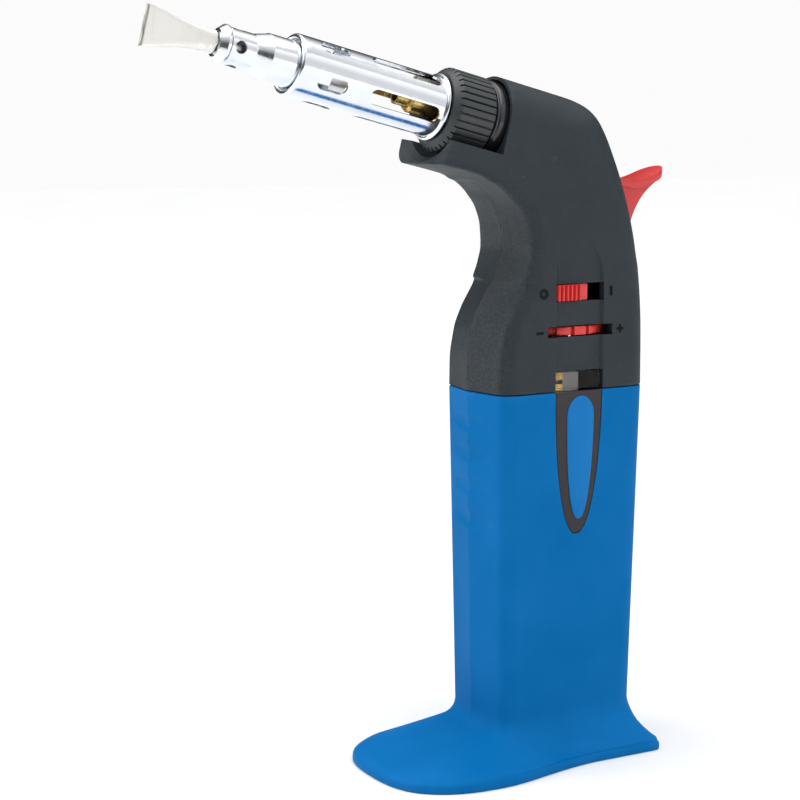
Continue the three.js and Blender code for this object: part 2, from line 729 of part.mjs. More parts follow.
// ---------------------------------------------------------------- nozzle pieces, along the nozzle's own Z
function knobCollar() {
  const shape = new THREE.Shape();
  const points = [];
  for (let i = 0; i < knobRibs; i++) {
    const middle = (i / knobRibs) * 2 * Math.PI;
    const step = Math.PI / knobRibs;
    for (const [turn, radius] of [
      [-0.95, knobRadius - 0.45],
      [-0.6, knobRadius],
      [0.6, knobRadius],
      [0.95, knobRadius - 0.45],
    ]) {
      const angle = middle + turn * step;
      points.push(new THREE.Vector2(radius * Math.cos(angle), radius * Math.sin(angle)));
    }
  }
  shape.setFromPoints(points);
  const depth = knobEnd - knobStart;
  const ribbed = new THREE.ExtrudeGeometry(shape, { depth, bevelEnabled: false }).translate(0, 0, knobStart);
  const turnedShape = turned(
    [
      [0, knobStart - 1],
      [12, knobStart - 1],
      [12, knobEnd - 2.6],
      [9.3, knobEnd - 0.7],
      [9.0, knobEnd],
      [0, knobEnd],
    ],
    36,
  );
  return cut(common(ribbed, turnedShape), rod(barrelRadius + gap, [0, 30], 0, 0, 32));
}

function barrel() {
  const outline = [
    [6.9, 6],
    [barrelRadius, 6],
    [barrelRadius, knobEnd + 0.3],
    [8.3, knobEnd + 0.45],
    [8.45, knobEnd + 0.9],
    [8.2, knobEnd + 1.3],
    [barrelRadius, knobEnd + 1.5],
    [barrelRadius, barrelEnd - 1.1],
    [7.1, barrelEnd - 0.25],
    [6.4, barrelEnd],
    [6.1, barrelEnd - 0.45],
    [6.5, barrelEnd - 1.1],
    [6.9, barrelEnd - 1.8],
    [6.9, 6],
  ];
  const slot = (from, to, width, angle) => {
    const middle = (from + to) / 2;
    const straight = to - from - width;
    const ends = [-1, 1].map((side) =>
      new THREE.CylinderGeometry(width / 2, width / 2, 6, 10)
        .translate(0, barrelRadius, 0)
        .translate(0, 0, middle + (side * straight) / 2),
    );
    const bar = block([-width / 2, width / 2], [barrelRadius - 3, barrelRadius + 3], [
      middle - straight / 2,
      middle + straight / 2,
    ]);
    return join(bar, ...ends).rotateZ(angle);
  };
  const cutters = [];
  for (let i = 0; i < slotCount; i++) {
    const angle = slotAngle(i);
    cutters.push(slot(43.2, 51.2, 4, angle));
    cutters.push(slot(17.3, 36.9, 3.9, angle));
  }
  return cut(turned(outline, 32), ...cutters);
}
const slotAngle = (i) => firstSlotAngle - Math.PI / 2 + (i * 2 * Math.PI) / slotCount;

function tipSleeve() {
  const body = turned(
    [
      [5.0, 47],
      [5.6, 47],
      [5.6, 62.9],
      [4.4, 66.6],
      [4.4, sleeveEnd],
      [3.7, sleeveEnd],
      [3.7, 66.4],
      [5.0, 62.4],
      [5.0, 47],
    ],
    28,
  );
  const holes = [0, 1].map((i) =>
    new THREE.CylinderGeometry(1.5, 1.5, 20, 12).rotateZ((i * Math.PI) / 2).translate(0, 0, 70.6),
  );
  return cut(body, ...holes);
}

function tipRing() {
  return turned(
    [
      [2.4, sleeveEnd + 0.2],
      [4.6, sleeveEnd + 0.2],
      [4.75, sleeveEnd + 0.7],
      [4.5, sleeveEnd + 1.2],
      [3.4, sleeveEnd + 2.5],
      [2.4, sleeveEnd + 2.5],
      [2.4, sleeveEnd + 0.2],
    ],
    20,
  );
}

// Half width, half thickness and how square each section is, from the shank to the blade's edge.
const bladeStations = [
  { at: 60, wide: 2.0, thick: 2.0, square: 1 },
  { at: sleeveEnd + 2.8, wide: 2.0, thick: 2.0, square: 1 },
  { at: sleeveEnd + 2.9, wide: 2.85, thick: 1.9, square: 0.7 },
  { at: 80, wide: 2.8, thick: 1.35, square: 0.5 },
  { at: 84.5, wide: 3.25, thick: 0.95, square: 0.3 },
  { at: 88, wide: 3.95, thick: 0.85, square: 0.2 },
  { at: 91, wide: 4.65, thick: 0.78, square: 0.16 },
  { at: bladeEnd, wide: 5.05, thick: 0.75, square: 0.14 },
];
const bladeDroop = 0.045; // the blade bends down by this much for each millimetre past the ring

function bladeTip() {
  const sides = 20;
  const rings = bladeStations.map(({ at, wide, thick, square }) => {
    const drop = -bladeDroop * Math.max(0, at - sleeveEnd - 2.5);
    return Array.from({ length: sides }, (_, i) => {
      const angle = ((i + 0.5) / sides) * 2 * Math.PI;
      const [c, s] = [Math.cos(angle), Math.sin(angle)];
      return new THREE.Vector3(
        drop + wide * Math.sign(c) * Math.abs(c) ** square,
        thick * Math.sign(s) * Math.abs(s) ** square,
        at,
      );
    });
  });
  return loft(rings);
}

// ---------------------------------------------------------------- red controls
// A disc with flat-bottomed notches round its rim.
function flameWheel() {
  const notches = 18;
  const shape = new THREE.Shape();
  const points = [];
  for (let i = 0; i < notches; i++) {
    const middle = (i / notches) * 2 * Math.PI;
    const step = Math.PI / notches;
    for (const [turn, radius] of [
      [-0.72, wheelRadius - 0.6],
      [-0.6, wheelRadius],
      [0.6, wheelRadius],
      [0.72, wheelRadius - 0.6],
    ]) {
      const angle = middle + turn * step;
      points.push(new THREE.Vector2(radius * Math.cos(angle), radius * Math.sin(angle)));
    }
  }
  shape.setFromPoints(points);
  const bore = new THREE.Path().absarc(0, 0, 2.6, 0, 2 * Math.PI, true);
  shape.holes.push(bore);
  const depth = wheelZ[1] - wheelZ[0];
  const disc = new THREE.ExtrudeGeometry(shape, { depth, bevelEnabled: false, curveSegments: 10 });
  return disc.translate(wheelCentreX, 0, wheelZ[0]);
}

function gasSlider() {
  const [x0, x1] = [channelX[0] + 0.2, channelX[0] + 8.6];
  const [z0, z1] = [sliderZ[0] + 0.25, sliderZ[1] - 0.25];
  const ribCount = 6;
  const ramp = [[-7.4, 118.5], [x1 + 1.5, 118.5], [x1 + 1.5, 118.75], [-1, 118.75], [-7.4, 121.2]];
  const pitch = (x1 - x0) / ribCount;
  const rib = (i) => {
    const middle = x0 + (i + 0.5) * pitch;
    return block([middle - 0.32 * pitch, middle + 0.32 * pitch], [-14.15, -13], [z0, z1]);
  };
  return join(
    block([x0, x1], [-13.2, -10.8], [z0, z1]),
    ...Array.from({ length: ribCount }, (_, i) => rib(i)),
    block([x1 - 1, x1 + 1.7], [-12.6, -10.8], [z0, z1]),
    block([-7.4, x1 + 1.7], [-11.5, -10.5], [118.4, 125.2]),
    sidePlate(ramp, [-10.6, -8.6]),
  );
}

// The lever turns on its pin at +Y. Its hook rides over the slider's ramp and its bar lifts the stem.
function gasLever() {
  const barrelShape = new THREE.CylinderGeometry(2.1, 2.1, 5.2, 16).rotateZ(Math.PI / 2);
  const pinHole = new THREE.CylinderGeometry(1.2, 1.2, 9, 14).rotateZ(Math.PI / 2);
  const bar = join(
    block([-0.7, 4.5], [-8.2, 8], [115.3, 116.6]),
    barrelShape.translate(wheelCentreX, pinY, pinZ),
    block([1.2, 2.6], [-8.2, -7], [116, 120.4]),
    block([1.2, 2.6], [-10, -7.2], [119.2, 120.4]),
  );
  return cut(bar, pinHole.translate(wheelCentreX, pinY, pinZ), rod(1.75, [110, 120], wheelCentreX, 0, 16));
}

const leverPin = () =>
  new THREE.CylinderGeometry(0.9, 0.9, 10.6, 14).rotateZ(Math.PI / 2).translate(wheelCentreX, pinY, pinZ);

const valveBody = () =>
  turned(
    [[0, 84.5], [2.5, 84.5], [2.5, 93], [5, 93], [5, 99], [4, 99.6], [4, 109.8], [2.2, 109.8], [2.2, 114.4],
      [1.6, 114.4], [1.6, 104], [0, 104]],
    24,
  ).translate(wheelCentreX, 0, 0);

const valveStem = () =>
  turned(
    [[0, 105], [1.2, 105], [1.2, 117.3], [2.6, 117.3], [2.6, 118.1], [1.2, 118.1], [1.2, 121.4],
      [0, 121.4]],
    16,
  ).translate(wheelCentreX, 0, 0);

// ---------------------------------------------------------------- gas way and spark
const at = (x, z, y = 0) => new THREE.Vector3(x, y, z);

function gasHose() {
  const route = [
    at(wheelCentreX, 119.8),
    at(wheelCentreX, 124),
    at(-0.2, 131),
    at(-0.4, 138),
    at(1.8, 145),
    at(2.2, 151),
  ];
  return tubeAlong(new THREE.CatmullRomCurve3(route), 2.3, 12, 8, 1.75);
}

const jetHolder = () =>
  cut(
    join(onNozzle(rod(3, [-25.5, -17.2], 0, 0, 20)), rod(1.4, [148.4, 157.5], 2.2, 0, 14)),
    onNozzle(rod(1, [-20, -16], 0, 0, 12)),
  );

const gasJet = () =>
  turned([[0.4, -16.9], [1.6, -16.9], [1.6, -15], [0.9, -13.6], [0.4, -13.6], [0.4, -16.9]], 16);

const mixingTube = () =>
  turned(
    [[2.6, -13.2], [3.6, -13.2], [3.6, -11], [3.2, -10.4], [3.2, -2.1], [2.6, -2.1], [2.6, -13.2]],
    20,
  );

const burnerTube = () =>
  turned(
    [[1.3, -1.8], [3, -1.8], [3, 22.4], [2.5, 23.2], [1.9, 23.2], [1.9, 26.5], [1.3, 26.5], [1.3, -1.8]],
    20,
  );

const nozzleSocket = () =>
  cut(
    turned(
      [[4.5, -5.4], [10.3, -5.4], [10.3, 1.1], [10, 1.6], [6.5, 1.7], [6.5, 9], [4.5, 9], [4.5, -5.4]],
      32,
    ),
    rod(1.5, [-7, 12], insulatorUp, 0, 16),
  );

const sparkLead = () =>
  tubeAlong(
    new THREE.CatmullRomCurve3([
      at(7.4, 118, 3.4),
      at(6.2, 122, 4.6),
      at(5.6, 134, 5.2),
      at(3.5, 149, 5.6),
      at(-3, 159, 5),
      at(...nozzlePoint(-12, 4.6), 1.4),
      at(...nozzlePoint(-5.6, insulatorUp)),
    ]),
    0.6,
    28,
    6,
  );

const piezoBody = () =>
  cut(block([8.5, 16.9], [-4.4, 4.4], [113.6, piezoTop]), rod(3.4, [121.6, 140], piezoX, 0, 20));

// The trigger: a dished thumb pad on a curved web, and a block that runs inside the head.
function trigger() {
  const v = (x, z) => new THREE.Vector2(x, z);
  const dish = [v(16, 149.9), v(20.5, 149.6), v(24.6, 148.8), v(30, 149.9), v(35.3, 152.2)];
  const topCurve = new THREE.SplineCurve(dish);
  const underCurve = new THREE.QuadraticBezierCurve(v(35.2, 149.4), v(26.4, 146.2), v(23.2, 136.6));
  const outline = [
    [9.0, 139.4],
    [9.0, 145.5],
    [13, 149.0],
    ...topCurve.getPoints(10).map((p) => [p.x, p.y]),
    [36.0, 151.9],
    [36.1, 150.6],
    ...underCurve.getPoints(7).map((p) => [p.x, p.y]),
    [17.6, 136.2],
    [17.6, 139.4],
  ];
  const web = sidePlate(outline, [-triggerHalf, triggerHalf]);
  const plan = new THREE.Shape();
  const tipCentreX = 31;
  plan.moveTo(8, -triggerHalf);
  plan.lineTo(tipCentreX, -triggerHalf);
  plan.absarc(tipCentreX, 0, triggerHalf, -Math.PI / 2, Math.PI / 2, false);
  plan.lineTo(8, triggerHalf);
  const column = new THREE.ExtrudeGeometry(plan, { depth: 40, bevelEnabled: false, curveSegments: 10 });
  return common(web, column.translate(0.2, 0, 120));
}

// ---------------------------------------------------------------- assembly
const torch = new THREE.Group();
torch.add(nozzle);

piece(torch, 'grip_shell', gripShell(), bluePlastic);
piece(torch, 'base_plate', basePlate(), blackPlastic);
basePosts.forEach((place, i) => piece(torch, `base_screw_${i + 1}`, baseScrew(place), steel));
piece(torch, 'fuel_tank', fuelTank(), milkyPlastic);
piece(torch, 'tank_lid', tankLid(), milkyPlastic);
piece(torch, 'fuel_wick', ring(1.4, 0.7, [16.5, 84.2], 12).translate(wheelCentreX, 0, 0), milkyPlastic);
piece(torch, 'filler_seal', ring(4.1, 2.2, [1.1, 1.9], 24).translate(fillerX, 0, 0), rubber);
piece(torch, 'filler_body', fillerBody(), brass);
piece(torch, 'filler_stem', fillerStem(), brass);
piece(torch, 'filler_spring', tubeAlong(new Helix(1.65, [5.8, 9.4], 4, fillerX), 0.22, 40, 4), steel);
piece(torch, 'level_window', levelWindow(), smokyClear);
piece(torch, 'label_plate', labelPlate(), bluePlastic);
piece(
  torch,
  'valve_window',
  block([channelX[0] + gap, channelX[1] - gap], [-13, -12], [joinZ + 0.3, windowTop - gap]),
  smokyClear,
);
piece(torch, 'valve_holder', valveHolder(), milkyPlastic);
holderScrewZ.forEach((z, i) => piece(torch, `holder_screw_${i + 1}`, holderScrew(z), brass));

piece(torch, 'head_right', headRight(), charcoal);
piece(torch, 'head_left', headLeft(), charcoal);
headScrews.forEach((place, i) => piece(torch, `head_screw_${i + 1}`, headScrew(place), steel));

piece(torch, 'valve_body', valveBody(), brass);
piece(torch, 'valve_stem', valveStem(), brass);
piece(torch, 'flame_wheel', flameWheel(), redPlastic);
piece(torch, 'gas_slider', gasSlider(), redPlastic);
piece(torch, 'gas_lever', gasLever(), steel);
piece(torch, 'lever_pin', leverPin(), steel);
piece(torch, 'gas_hose', gasHose(), milkyPlastic);
piece(torch, 'jet_holder', jetHolder(), brass);

piece(torch, 'trigger', trigger(), redPlastic);
piece(torch, 'piezo_body', piezoBody(), blackPlastic);
piece(torch, 'piezo_plunger', rod(3, [126.4, 139.1], piezoX, 0, 20), milkyPlastic);
const triggerCoil = new Helix(3.9, [piezoTop + 0.8, 138.6], 4, piezoX);
piece(torch, 'trigger_spring', tubeAlong(triggerCoil, 0.36, 48, 5), steel);
piece(torch, 'spark_lead', sparkLead(), blackPlastic);

piece(nozzle, 'gas_jet', gasJet(), brass);
piece(nozzle, 'mixing_tube', mixingTube(), steel);
piece(nozzle, 'burner_tube', burnerTube(), brass);
piece(nozzle, 'nozzle_socket', nozzleSocket(), blackPlastic);
piece(nozzle, 'insulator', ring(1.2, 0.65, [-5, 22], 14).translate(insulatorUp, 0, 0), ceramic);
piece(nozzle, 'electrode', rod(0.35, [-4.8, 27], insulatorUp, 0, 8), steel);
piece(nozzle, 'knob_ring', ring(10, 7, [2, 2.8], 36), blackPlastic);
piece(nozzle, 'knob_collar', knobCollar(), charcoal);
piece(nozzle, 'barrel', barrel(), chrome);
piece(nozzle, 'tip_sleeve', tipSleeve(), chrome);
piece(nozzle, 'tip_ring', tipRing(), chrome);
piece(nozzle, 'blade_tip', bladeTip(), chrome);

export default torch;
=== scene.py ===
"""Looks of the butane torch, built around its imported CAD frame. Sizes are in millimetres until mesh()
turns them into metres: +Z up, the nozzle points to -X and the switches face -Y."""

import json
import math

import bmesh
import bpy
import numpy as np
from mathutils import Matrix, Vector


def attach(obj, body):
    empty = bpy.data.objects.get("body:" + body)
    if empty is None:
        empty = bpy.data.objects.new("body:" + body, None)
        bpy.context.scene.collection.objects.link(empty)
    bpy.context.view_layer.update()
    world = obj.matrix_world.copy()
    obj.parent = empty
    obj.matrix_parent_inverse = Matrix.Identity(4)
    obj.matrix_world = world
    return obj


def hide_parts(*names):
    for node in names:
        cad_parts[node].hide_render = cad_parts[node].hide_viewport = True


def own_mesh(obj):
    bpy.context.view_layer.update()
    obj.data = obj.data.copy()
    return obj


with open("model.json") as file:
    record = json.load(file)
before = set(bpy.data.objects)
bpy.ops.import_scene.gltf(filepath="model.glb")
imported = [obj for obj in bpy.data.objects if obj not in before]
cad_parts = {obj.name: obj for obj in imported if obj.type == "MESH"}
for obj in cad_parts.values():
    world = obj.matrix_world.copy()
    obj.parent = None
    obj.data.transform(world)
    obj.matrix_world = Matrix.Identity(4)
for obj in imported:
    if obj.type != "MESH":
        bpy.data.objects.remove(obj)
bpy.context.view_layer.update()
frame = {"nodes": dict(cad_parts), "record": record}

MM = 0.001

# ---------------------------------------------------------------- driving sizes, the CAD's unless noted
JOIN_Z = 96.6
SEAM = 0.06  # half the gap between the head halves, narrower than the CAD's 0.15
GRIP_FRONT, GRIP_REAR, GRIP_HALF = -23.4, 23.9, 13.9
DRAFT_ALONG, DRAFT_ACROSS = 0.0195, 0.014
FACET, BAND, SHARE, REAR_R = 1.93, 5.5, 0.878, 6.3
WALL = 2.0
LIP_INSET = 2.6  # the head's lip, inside the grip's surface
FLARE_TOP, RIM, FOOT_X = 13.0, 2.6, -4.0
TILT = math.radians(13.9)
HOOD = (-18.8, 163.6)
HOOD_R, HOOD_BORE = 11.75, 10.6
NOSE_DROP, NOSE_REACH, CRADLE_TOP = -14.1, 15.4, -8.0
KNOB = (3.1, 14.95, 10.5)  # start, end, radius
TROUGH_R = 12.1
BARREL_R, BARREL_END = 7.5, 56.2
SLEEVE_END, BLADE_END = 72.9, 93.2
CHANNEL_X = (-5.9, 8.75)
CHANNEL_DEPTH = 0.8
SLIDER_Z = (119.2, 123.7)
WHEEL = (1.9, 13.4, 110.6, 112.8)  # centre x, radius, bottom, top
WHEEL_SLOT_X = (-8.4, 11.5)
WINDOW_TOP = 101.6
TONGUE_TIP, TONGUE_HALF = 59.6, 7.1
TONGUE_X = sum(CHANNEL_X) / 2
LABEL_X, LABEL_HALF, LABEL_Z = TONGUE_X + 0.5, 4.1, (63.4, 95.2)
TRIGGER_HALF = 5.0
FINGER_Z = (88.3, 80.2, 72.0, 63.5)
FILLER_X = 12.0
GAP = 0.3  # clearance round a moving piece
LIP_DEPTH, LIP_THICKNESS = 3.2, 1.2
SLOT_COUNT, FIRST_SLOT = 5, math.radians(-111)
SHORT_SLOT, LONG_SLOT = (43.2, 51.2, 4.0), (17.3, 36.9, 3.9)  # start, end, width
BARREL_LIP = 0.7  # radius of the barrel's rolled lip
SLEEVE_R, SLEEVE_BORE, SLEEVE_BACK = 5.6, 5.0, 47
PIEZO_X, TRIGGER_TRAVEL, FILLER_TRAVEL = 12.7, 4.5, 1.5
HEAD_SCREWS = ((-9.5, 106.5), (18.6, 106.0), (-4.4, 150.0))  # x, z on the plain half


# ---------------------------------------------------------------- node materials
class Tree:
    """A short way to write a node tree."""

    def __init__(self, tree):
        self.tree = tree

    def node(self, kind, inputs=None, **settings):
        made = self.tree.nodes.new(kind)
        for key, value in settings.items():
            setattr(made, key, value)
        for key, value in (inputs or {}).items():
            self.put(made.inputs[key], value)
        return made

    def put(self, socket, value):
        if isinstance(value, bpy.types.NodeSocket):
            self.tree.links.new(value, socket)
        else:
            socket.default_value = value

    def ramp(self, factor, low, high, start=0.0, end=1.0):
        """Maps factor from start..end to low..high, for numbers or colours."""
        if isinstance(low, (int, float)):
            made = self.node(
                "ShaderNodeMapRange",
                {"Value": factor, "From Min": start, "From Max": end, "To Min": low, "To Max": high},
            )
            return made.outputs["Result"]
        made = self.node("ShaderNodeValToRGB", {"Fac": factor})
        made.color_ramp.elements[0].position = start
        made.color_ramp.elements[0].color = (*low, 1)
        made.color_ramp.elements[1].position = end
        made.color_ramp.elements[1].color = (*high, 1)
        return made.outputs["Color"]

    def math(self, operation, a, b):
        return self.node("ShaderNodeMath", {0: a, 1: b}, operation=operation).outputs[0]


class Nodes(Tree):
    """The node tree of a new material."""

    def __init__(self, name):
        self.material = bpy.data.materials.new(name)
        self.material.use_nodes = True
        super().__init__(self.material.node_tree)
        self.shader = self.tree.nodes["Principled BSDF"]

    def set(self, **inputs):
        for key, value in inputs.items():
            self.put(self.shader.inputs[key.replace("_", " ")], value)

    def place(self):
        return self.node("ShaderNodeTexCoord").outputs["Object"]

    def noise(self, scale, detail=3.0, rough=0.5, vector=None, stretch=None):
        vector = vector or self.place()
        if stretch:
            vector = self.node("ShaderNodeMapping", {"Vector": vector, "Scale": stretch}).outputs[0]
        made = self.node(
            "ShaderNodeTexNoise",
            {"Vector": vector, "Scale": scale, "Detail": detail, "Roughness": rough},
        )
        return made.outputs["Fac"]

    def mix(self, factor, a, b):
        made = self.node("ShaderNodeMix", data_type="RGBA")
        self.put(made.inputs["Factor"], factor)
        self.put(made.inputs["A"], a if isinstance(a, bpy.types.NodeSocket) else (*a, 1))
        self.put(made.inputs["B"], b if isinstance(b, bpy.types.NodeSocket) else (*b, 1))
        return made.outputs["Result"]

    def edges(self):
        """Bright on worn, outward edges."""
        pointy = self.node("ShaderNodeNewGeometry").outputs["Pointiness"]
        return self.ramp(pointy, 0.0, 1.0, 0.505, 0.56)

    def bump(self, height, distance, strength=1.0, normal=None):
        inputs = {"Height": height, "Distance": distance * MM, "Strength": strength}
        if normal:
            inputs["Normal"] = normal
        return self.node("ShaderNodeBump", inputs).outputs["Normal"]

    def axis(self, name):
        split = self.node("ShaderNodeSeparateXYZ", {"Vector": self.place()})
        return split.outputs[name]


def moulded(name, colour, rough, grain=0.02, grain_scale=2600, scuff=0.12, coat=0.0, shine=0.5):
    """Moulded plastic: slight mottling, a fine skin, faint rubbed patches and paler worn edges."""
    n = Nodes(name)
    mottle = n.noise(45, 4)
    darker = tuple(c * 0.93 for c in colour)
    lighter = tuple(min(1, c * 1.05 + 0.004) for c in colour)
    base = n.ramp(mottle, darker, lighter, 0.3, 0.7)
    worn = tuple(min(1, c * 1.25 + 0.03) for c in colour)
    wear = n.math("MULTIPLY", n.edges(), n.ramp(n.noise(160, 5), 0.0, 0.45, 0.4, 0.75))
    base = n.mix(wear, base, worn)
    rub = n.noise(90, 6, 0.65, stretch=(1, 1, 0.35))
    n.set(Base_Color=base, Roughness=n.ramp(rub, rough - scuff * 0.5, rough + scuff * 0.5, 0.35, 0.65))
    skin = n.bump(n.noise(grain_scale, 2), grain)
    n.set(Normal=n.bump(n.noise(260, 3), 0.02, 0.5, skin))
    n.set(Coat_Weight=coat, Coat_Roughness=0.15, IOR=1.48, Specular_IOR_Level=shine)
    return n.material


def charcoal_material():
    """Spark-eroded charcoal plastic, with a coarser grain on the front where the fingers go."""
    n = Nodes("charcoal_grain")
    place = n.place()
    fine = n.noise(3300, 2, 0.6, place)
    coarse = n.noise(1500, 3, 0.7, place)
    normal = n.node("ShaderNodeNewGeometry").outputs["Normal"]
    forward = n.node("ShaderNodeSeparateXYZ", {"Vector": normal}).outputs["X"]
    front = n.ramp(forward, 1.0, 0.0, -0.9, -0.35)
    height = n.node("ShaderNodeMix", {"Factor": front, "A": fine, "B": coarse}, data_type="FLOAT")
    skin = n.bump(height.outputs[0], 0.05)
    speck = n.ramp(coarse, (0.012, 0.017, 0.021), (0.028, 0.037, 0.044), 0.38, 0.66)
    plain = n.ramp(n.noise(60, 5), (0.018, 0.025, 0.032), (0.022, 0.03, 0.038), 0.3, 0.7)
    base = n.mix(n.ramp(front, 0.18, 0.85), plain, speck)
    wear = n.math("MULTIPLY", n.edges(), n.ramp(n.noise(210, 5), 0.0, 0.5, 0.45, 0.75))
    n.set(Base_Color=n.mix(wear, base, (0.06, 0.07, 0.078)))
    n.set(Roughness=n.ramp(n.noise(70, 5), 0.5, 0.64, 0.35, 0.65))
    n.set(Normal=n.bump(n.noise(170, 3), 0.03, 0.4, skin), IOR=1.5, Specular_IOR_Level=0.26)
    return n.material


def plated(name, colour, rough, tint=None, heat=None):
    """Polished plate: drawing lines, faint haze and an optional heat tint along world X."""
    n = Nodes(name)
    lines = n.noise(900, 3, 0.6, stretch=(1, 1, 0.02))
    haze = n.noise(120, 5, 0.6)
    cloud = tuple(c * 0.94 for c in colour)
    base = n.ramp(haze, cloud, colour, 0.3, 0.7)
    if heat:
        start, end = heat
        along = n.ramp(n.axis("X"), 0.0, 1.0, start * MM, end * MM)
        ragged = n.math("MULTIPLY", along, n.ramp(n.noise(260, 4), 0.6, 1.0, 0.3, 0.7))
        base = n.mix(n.math("MULTIPLY", ragged, 0.5), base, tint)
    n.set(Base_Color=base, Metallic=1.0)
    n.set(Roughness=n.ramp(lines, rough * 0.7, rough * 1.5, 0.3, 0.7))
    n.set(Normal=n.bump(n.noise(60, 3), 0.03, 0.35, n.bump(lines, 0.004)))
    return n.material


def brass_material():
    n = Nodes("brass_turned")
    tarnish = n.noise(180, 6, 0.65)
    n.set(Base_Color=n.ramp(tarnish, (0.32, 0.2, 0.055), (0.78, 0.56, 0.2), 0.3, 0.68), Metallic=1.0)
    n.set(Roughness=n.ramp(tarnish, 0.42, 0.2, 0.3, 0.7))
    n.set(Normal=n.bump(n.noise(1500, 2, stretch=(0.08, 1, 1)), 0.01))
    return n.material


def clear_material():
    n = Nodes("clear_window")
    n.set(Base_Color=(0.7, 0.67, 0.68, 1), Transmission_Weight=1.0, IOR=1.2)
    n.set(Roughness=n.ramp(n.noise(220, 5), 0.02, 0.12, 0.4, 0.75))
    n.set(Normal=n.bump(n.noise(140, 3), 0.01))
    return n.material


def smoky_material():
    n = Nodes("smoky_tank_window")
    depth = n.noise(70, 4)
    n.set(Base_Color=n.ramp(depth, (0.017, 0.014, 0.017), (0.026, 0.021, 0.025), 0.3, 0.7))
    n.set(Roughness=n.ramp(n.noise(150, 5), 0.26, 0.4, 0.35, 0.7), IOR=1.5)
    n.set(Coat_Weight=0.1, Coat_Roughness=0.1, Specular_IOR_Level=0.25, Normal=n.bump(n.noise(90, 3), 0.02))
    return n.material


BLUE = moulded("blue_shell", (0.0, 0.135, 0.39), 0.56, grain=0.012, grain_scale=3000, shine=0.04)
LABEL_BLUE = moulded("blue_label", (0.0, 0.16, 0.46), 0.25, grain=0.003, shine=0.12)
CHARCOAL = charcoal_material()
COLLAR = moulded("collar_plastic", (0.028, 0.033, 0.036), 0.42, grain=0.03, grain_scale=2400, scuff=0.16)
BLACK = moulded("black_gloss", (0.006, 0.006, 0.007), 0.2, grain=0.004, coat=0.3)
RED = moulded("red_plastic", (0.58, 0.022, 0.02), 0.36, grain=0.008, coat=0.15)
MILKY = moulded("milky_plastic", (0.5, 0.51, 0.49), 0.45)
RUBBER = moulded("rubber_seal", (0.02, 0.02, 0.02), 0.75, grain=0.03)
# painted shade: the symbols are moulded in the body's own charcoal, and this near-black stands in for the
# shade in their edges
PAINTED_MARK_SHADE = moulded("mark_painted_shade", (0.004, 0.005, 0.006), 0.6, grain=0.01, shine=0.05)
CERAMIC = moulded("ceramic", (0.8, 0.77, 0.7), 0.25, grain=0.01, coat=0.4)
CHROME = plated("chrome_plate", (0.76, 0.79, 0.83), 0.14)
TIP = plated("tip_steel", (0.8, 0.82, 0.84), 0.34, heat=(-86, -93), tint=(0.78, 0.72, 0.6))
STEEL = plated("zinc_steel", (0.55, 0.57, 0.6), 0.26)
BRASS = brass_material()
CLEAR = clear_material()
SMOKY = smoky_material()


# ---------------------------------------------------------------- meshes
def mesh(name, points, faces, material, smooth_angle=35):
    """A new object from points in millimetres, smooth except at edges sharper than the angle."""
    data = bpy.data.meshes.new(name)
    data.from_pydata((np.asarray(points, float) * MM).tolist(), [], [list(f) for f in faces])
    made = bpy.data.objects.new(name, data)
    bpy.context.scene.collection.objects.link(made)
    data.materials.append(material)
    tidy(made, smooth_angle)
    return made


def tidy(obj, smooth_angle=35, weld=0.0):
    work = bmesh.new()
    work.from_mesh(obj.data)
    if weld:
        bmesh.ops.remove_doubles(work, verts=work.verts, dist=weld * MM)
        bmesh.ops.dissolve_degenerate(work, edges=work.edges, dist=weld * MM)
    bmesh.ops.recalc_face_normals(work, faces=work.faces)
    work.to_mesh(obj.data)
    work.free()
    obj.data.shade_smooth()
    obj.data.set_sharp_from_angle(angle=math.radians(smooth_angle))


def loft(rings, closed=False):
    """Points and faces of a skin through closed rings of equal length."""
    count = len(rings[0])
    points = [tuple(p) for ring in rings for p in ring]
    faces = []
    spans = len(rings) if closed else len(rings) - 1
    for i in range(spans):
        a, b = i * count, ((i + 1) % len(rings)) * count
        for j in range(count):
            k = (j + 1) % count
            faces.append((a + j, a + k, b + k, b + j))
    if not closed:
        faces.append(tuple(range(count))[::-1])
        faces.append(tuple(range(len(points) - count, len(points))))
    return points, faces


def applied(obj):
    """Applies an object's modifiers to its mesh."""
    bpy.context.view_layer.update()
    final = bpy.data.meshes.new_from_object(obj.evaluated_get(bpy.context.evaluated_depsgraph_get()))
    obj.modifiers.clear()
    old, obj.data = obj.data, final
    bpy.data.meshes.remove(old)
    return obj


def combine(obj, tools, operation="DIFFERENCE", smooth_angle=35):
    """Cuts the tools from the object, or joins them to it, and removes them."""
    for tool in tools:
        step = obj.modifiers.new("combine", "BOOLEAN")
        step.operation = operation
        step.solver = "EXACT"
        step.object = tool
    applied(obj)
    for tool in tools:
        bpy.data.objects.remove(tool)
    tidy(obj, smooth_angle, weld=0.004)
    return obj


def bevel(obj, width, segments=2, angle=40, smooth_angle=35):
    step = obj.modifiers.new("bevel", "BEVEL")
    step.width = width * MM
    step.segments = segments
    step.limit_method = "ANGLE"
    step.angle_limit = math.radians(angle)
    applied(obj)
    tidy(obj, smooth_angle)
    return obj


def box(name, x, y, z, material=BLACK):
    corners = [(a, b, c) for c in z for a, b in ((x[0], y[0]), (x[1], y[0]), (x[1], y[1]), (x[0], y[1]))]
    faces = [(0, 1, 2, 3), (4, 5, 6, 7), (0, 1, 5, 4), (1, 2, 6, 5), (2, 3, 7, 6), (3, 0, 4, 7)]
    return mesh(name, corners, faces, material)


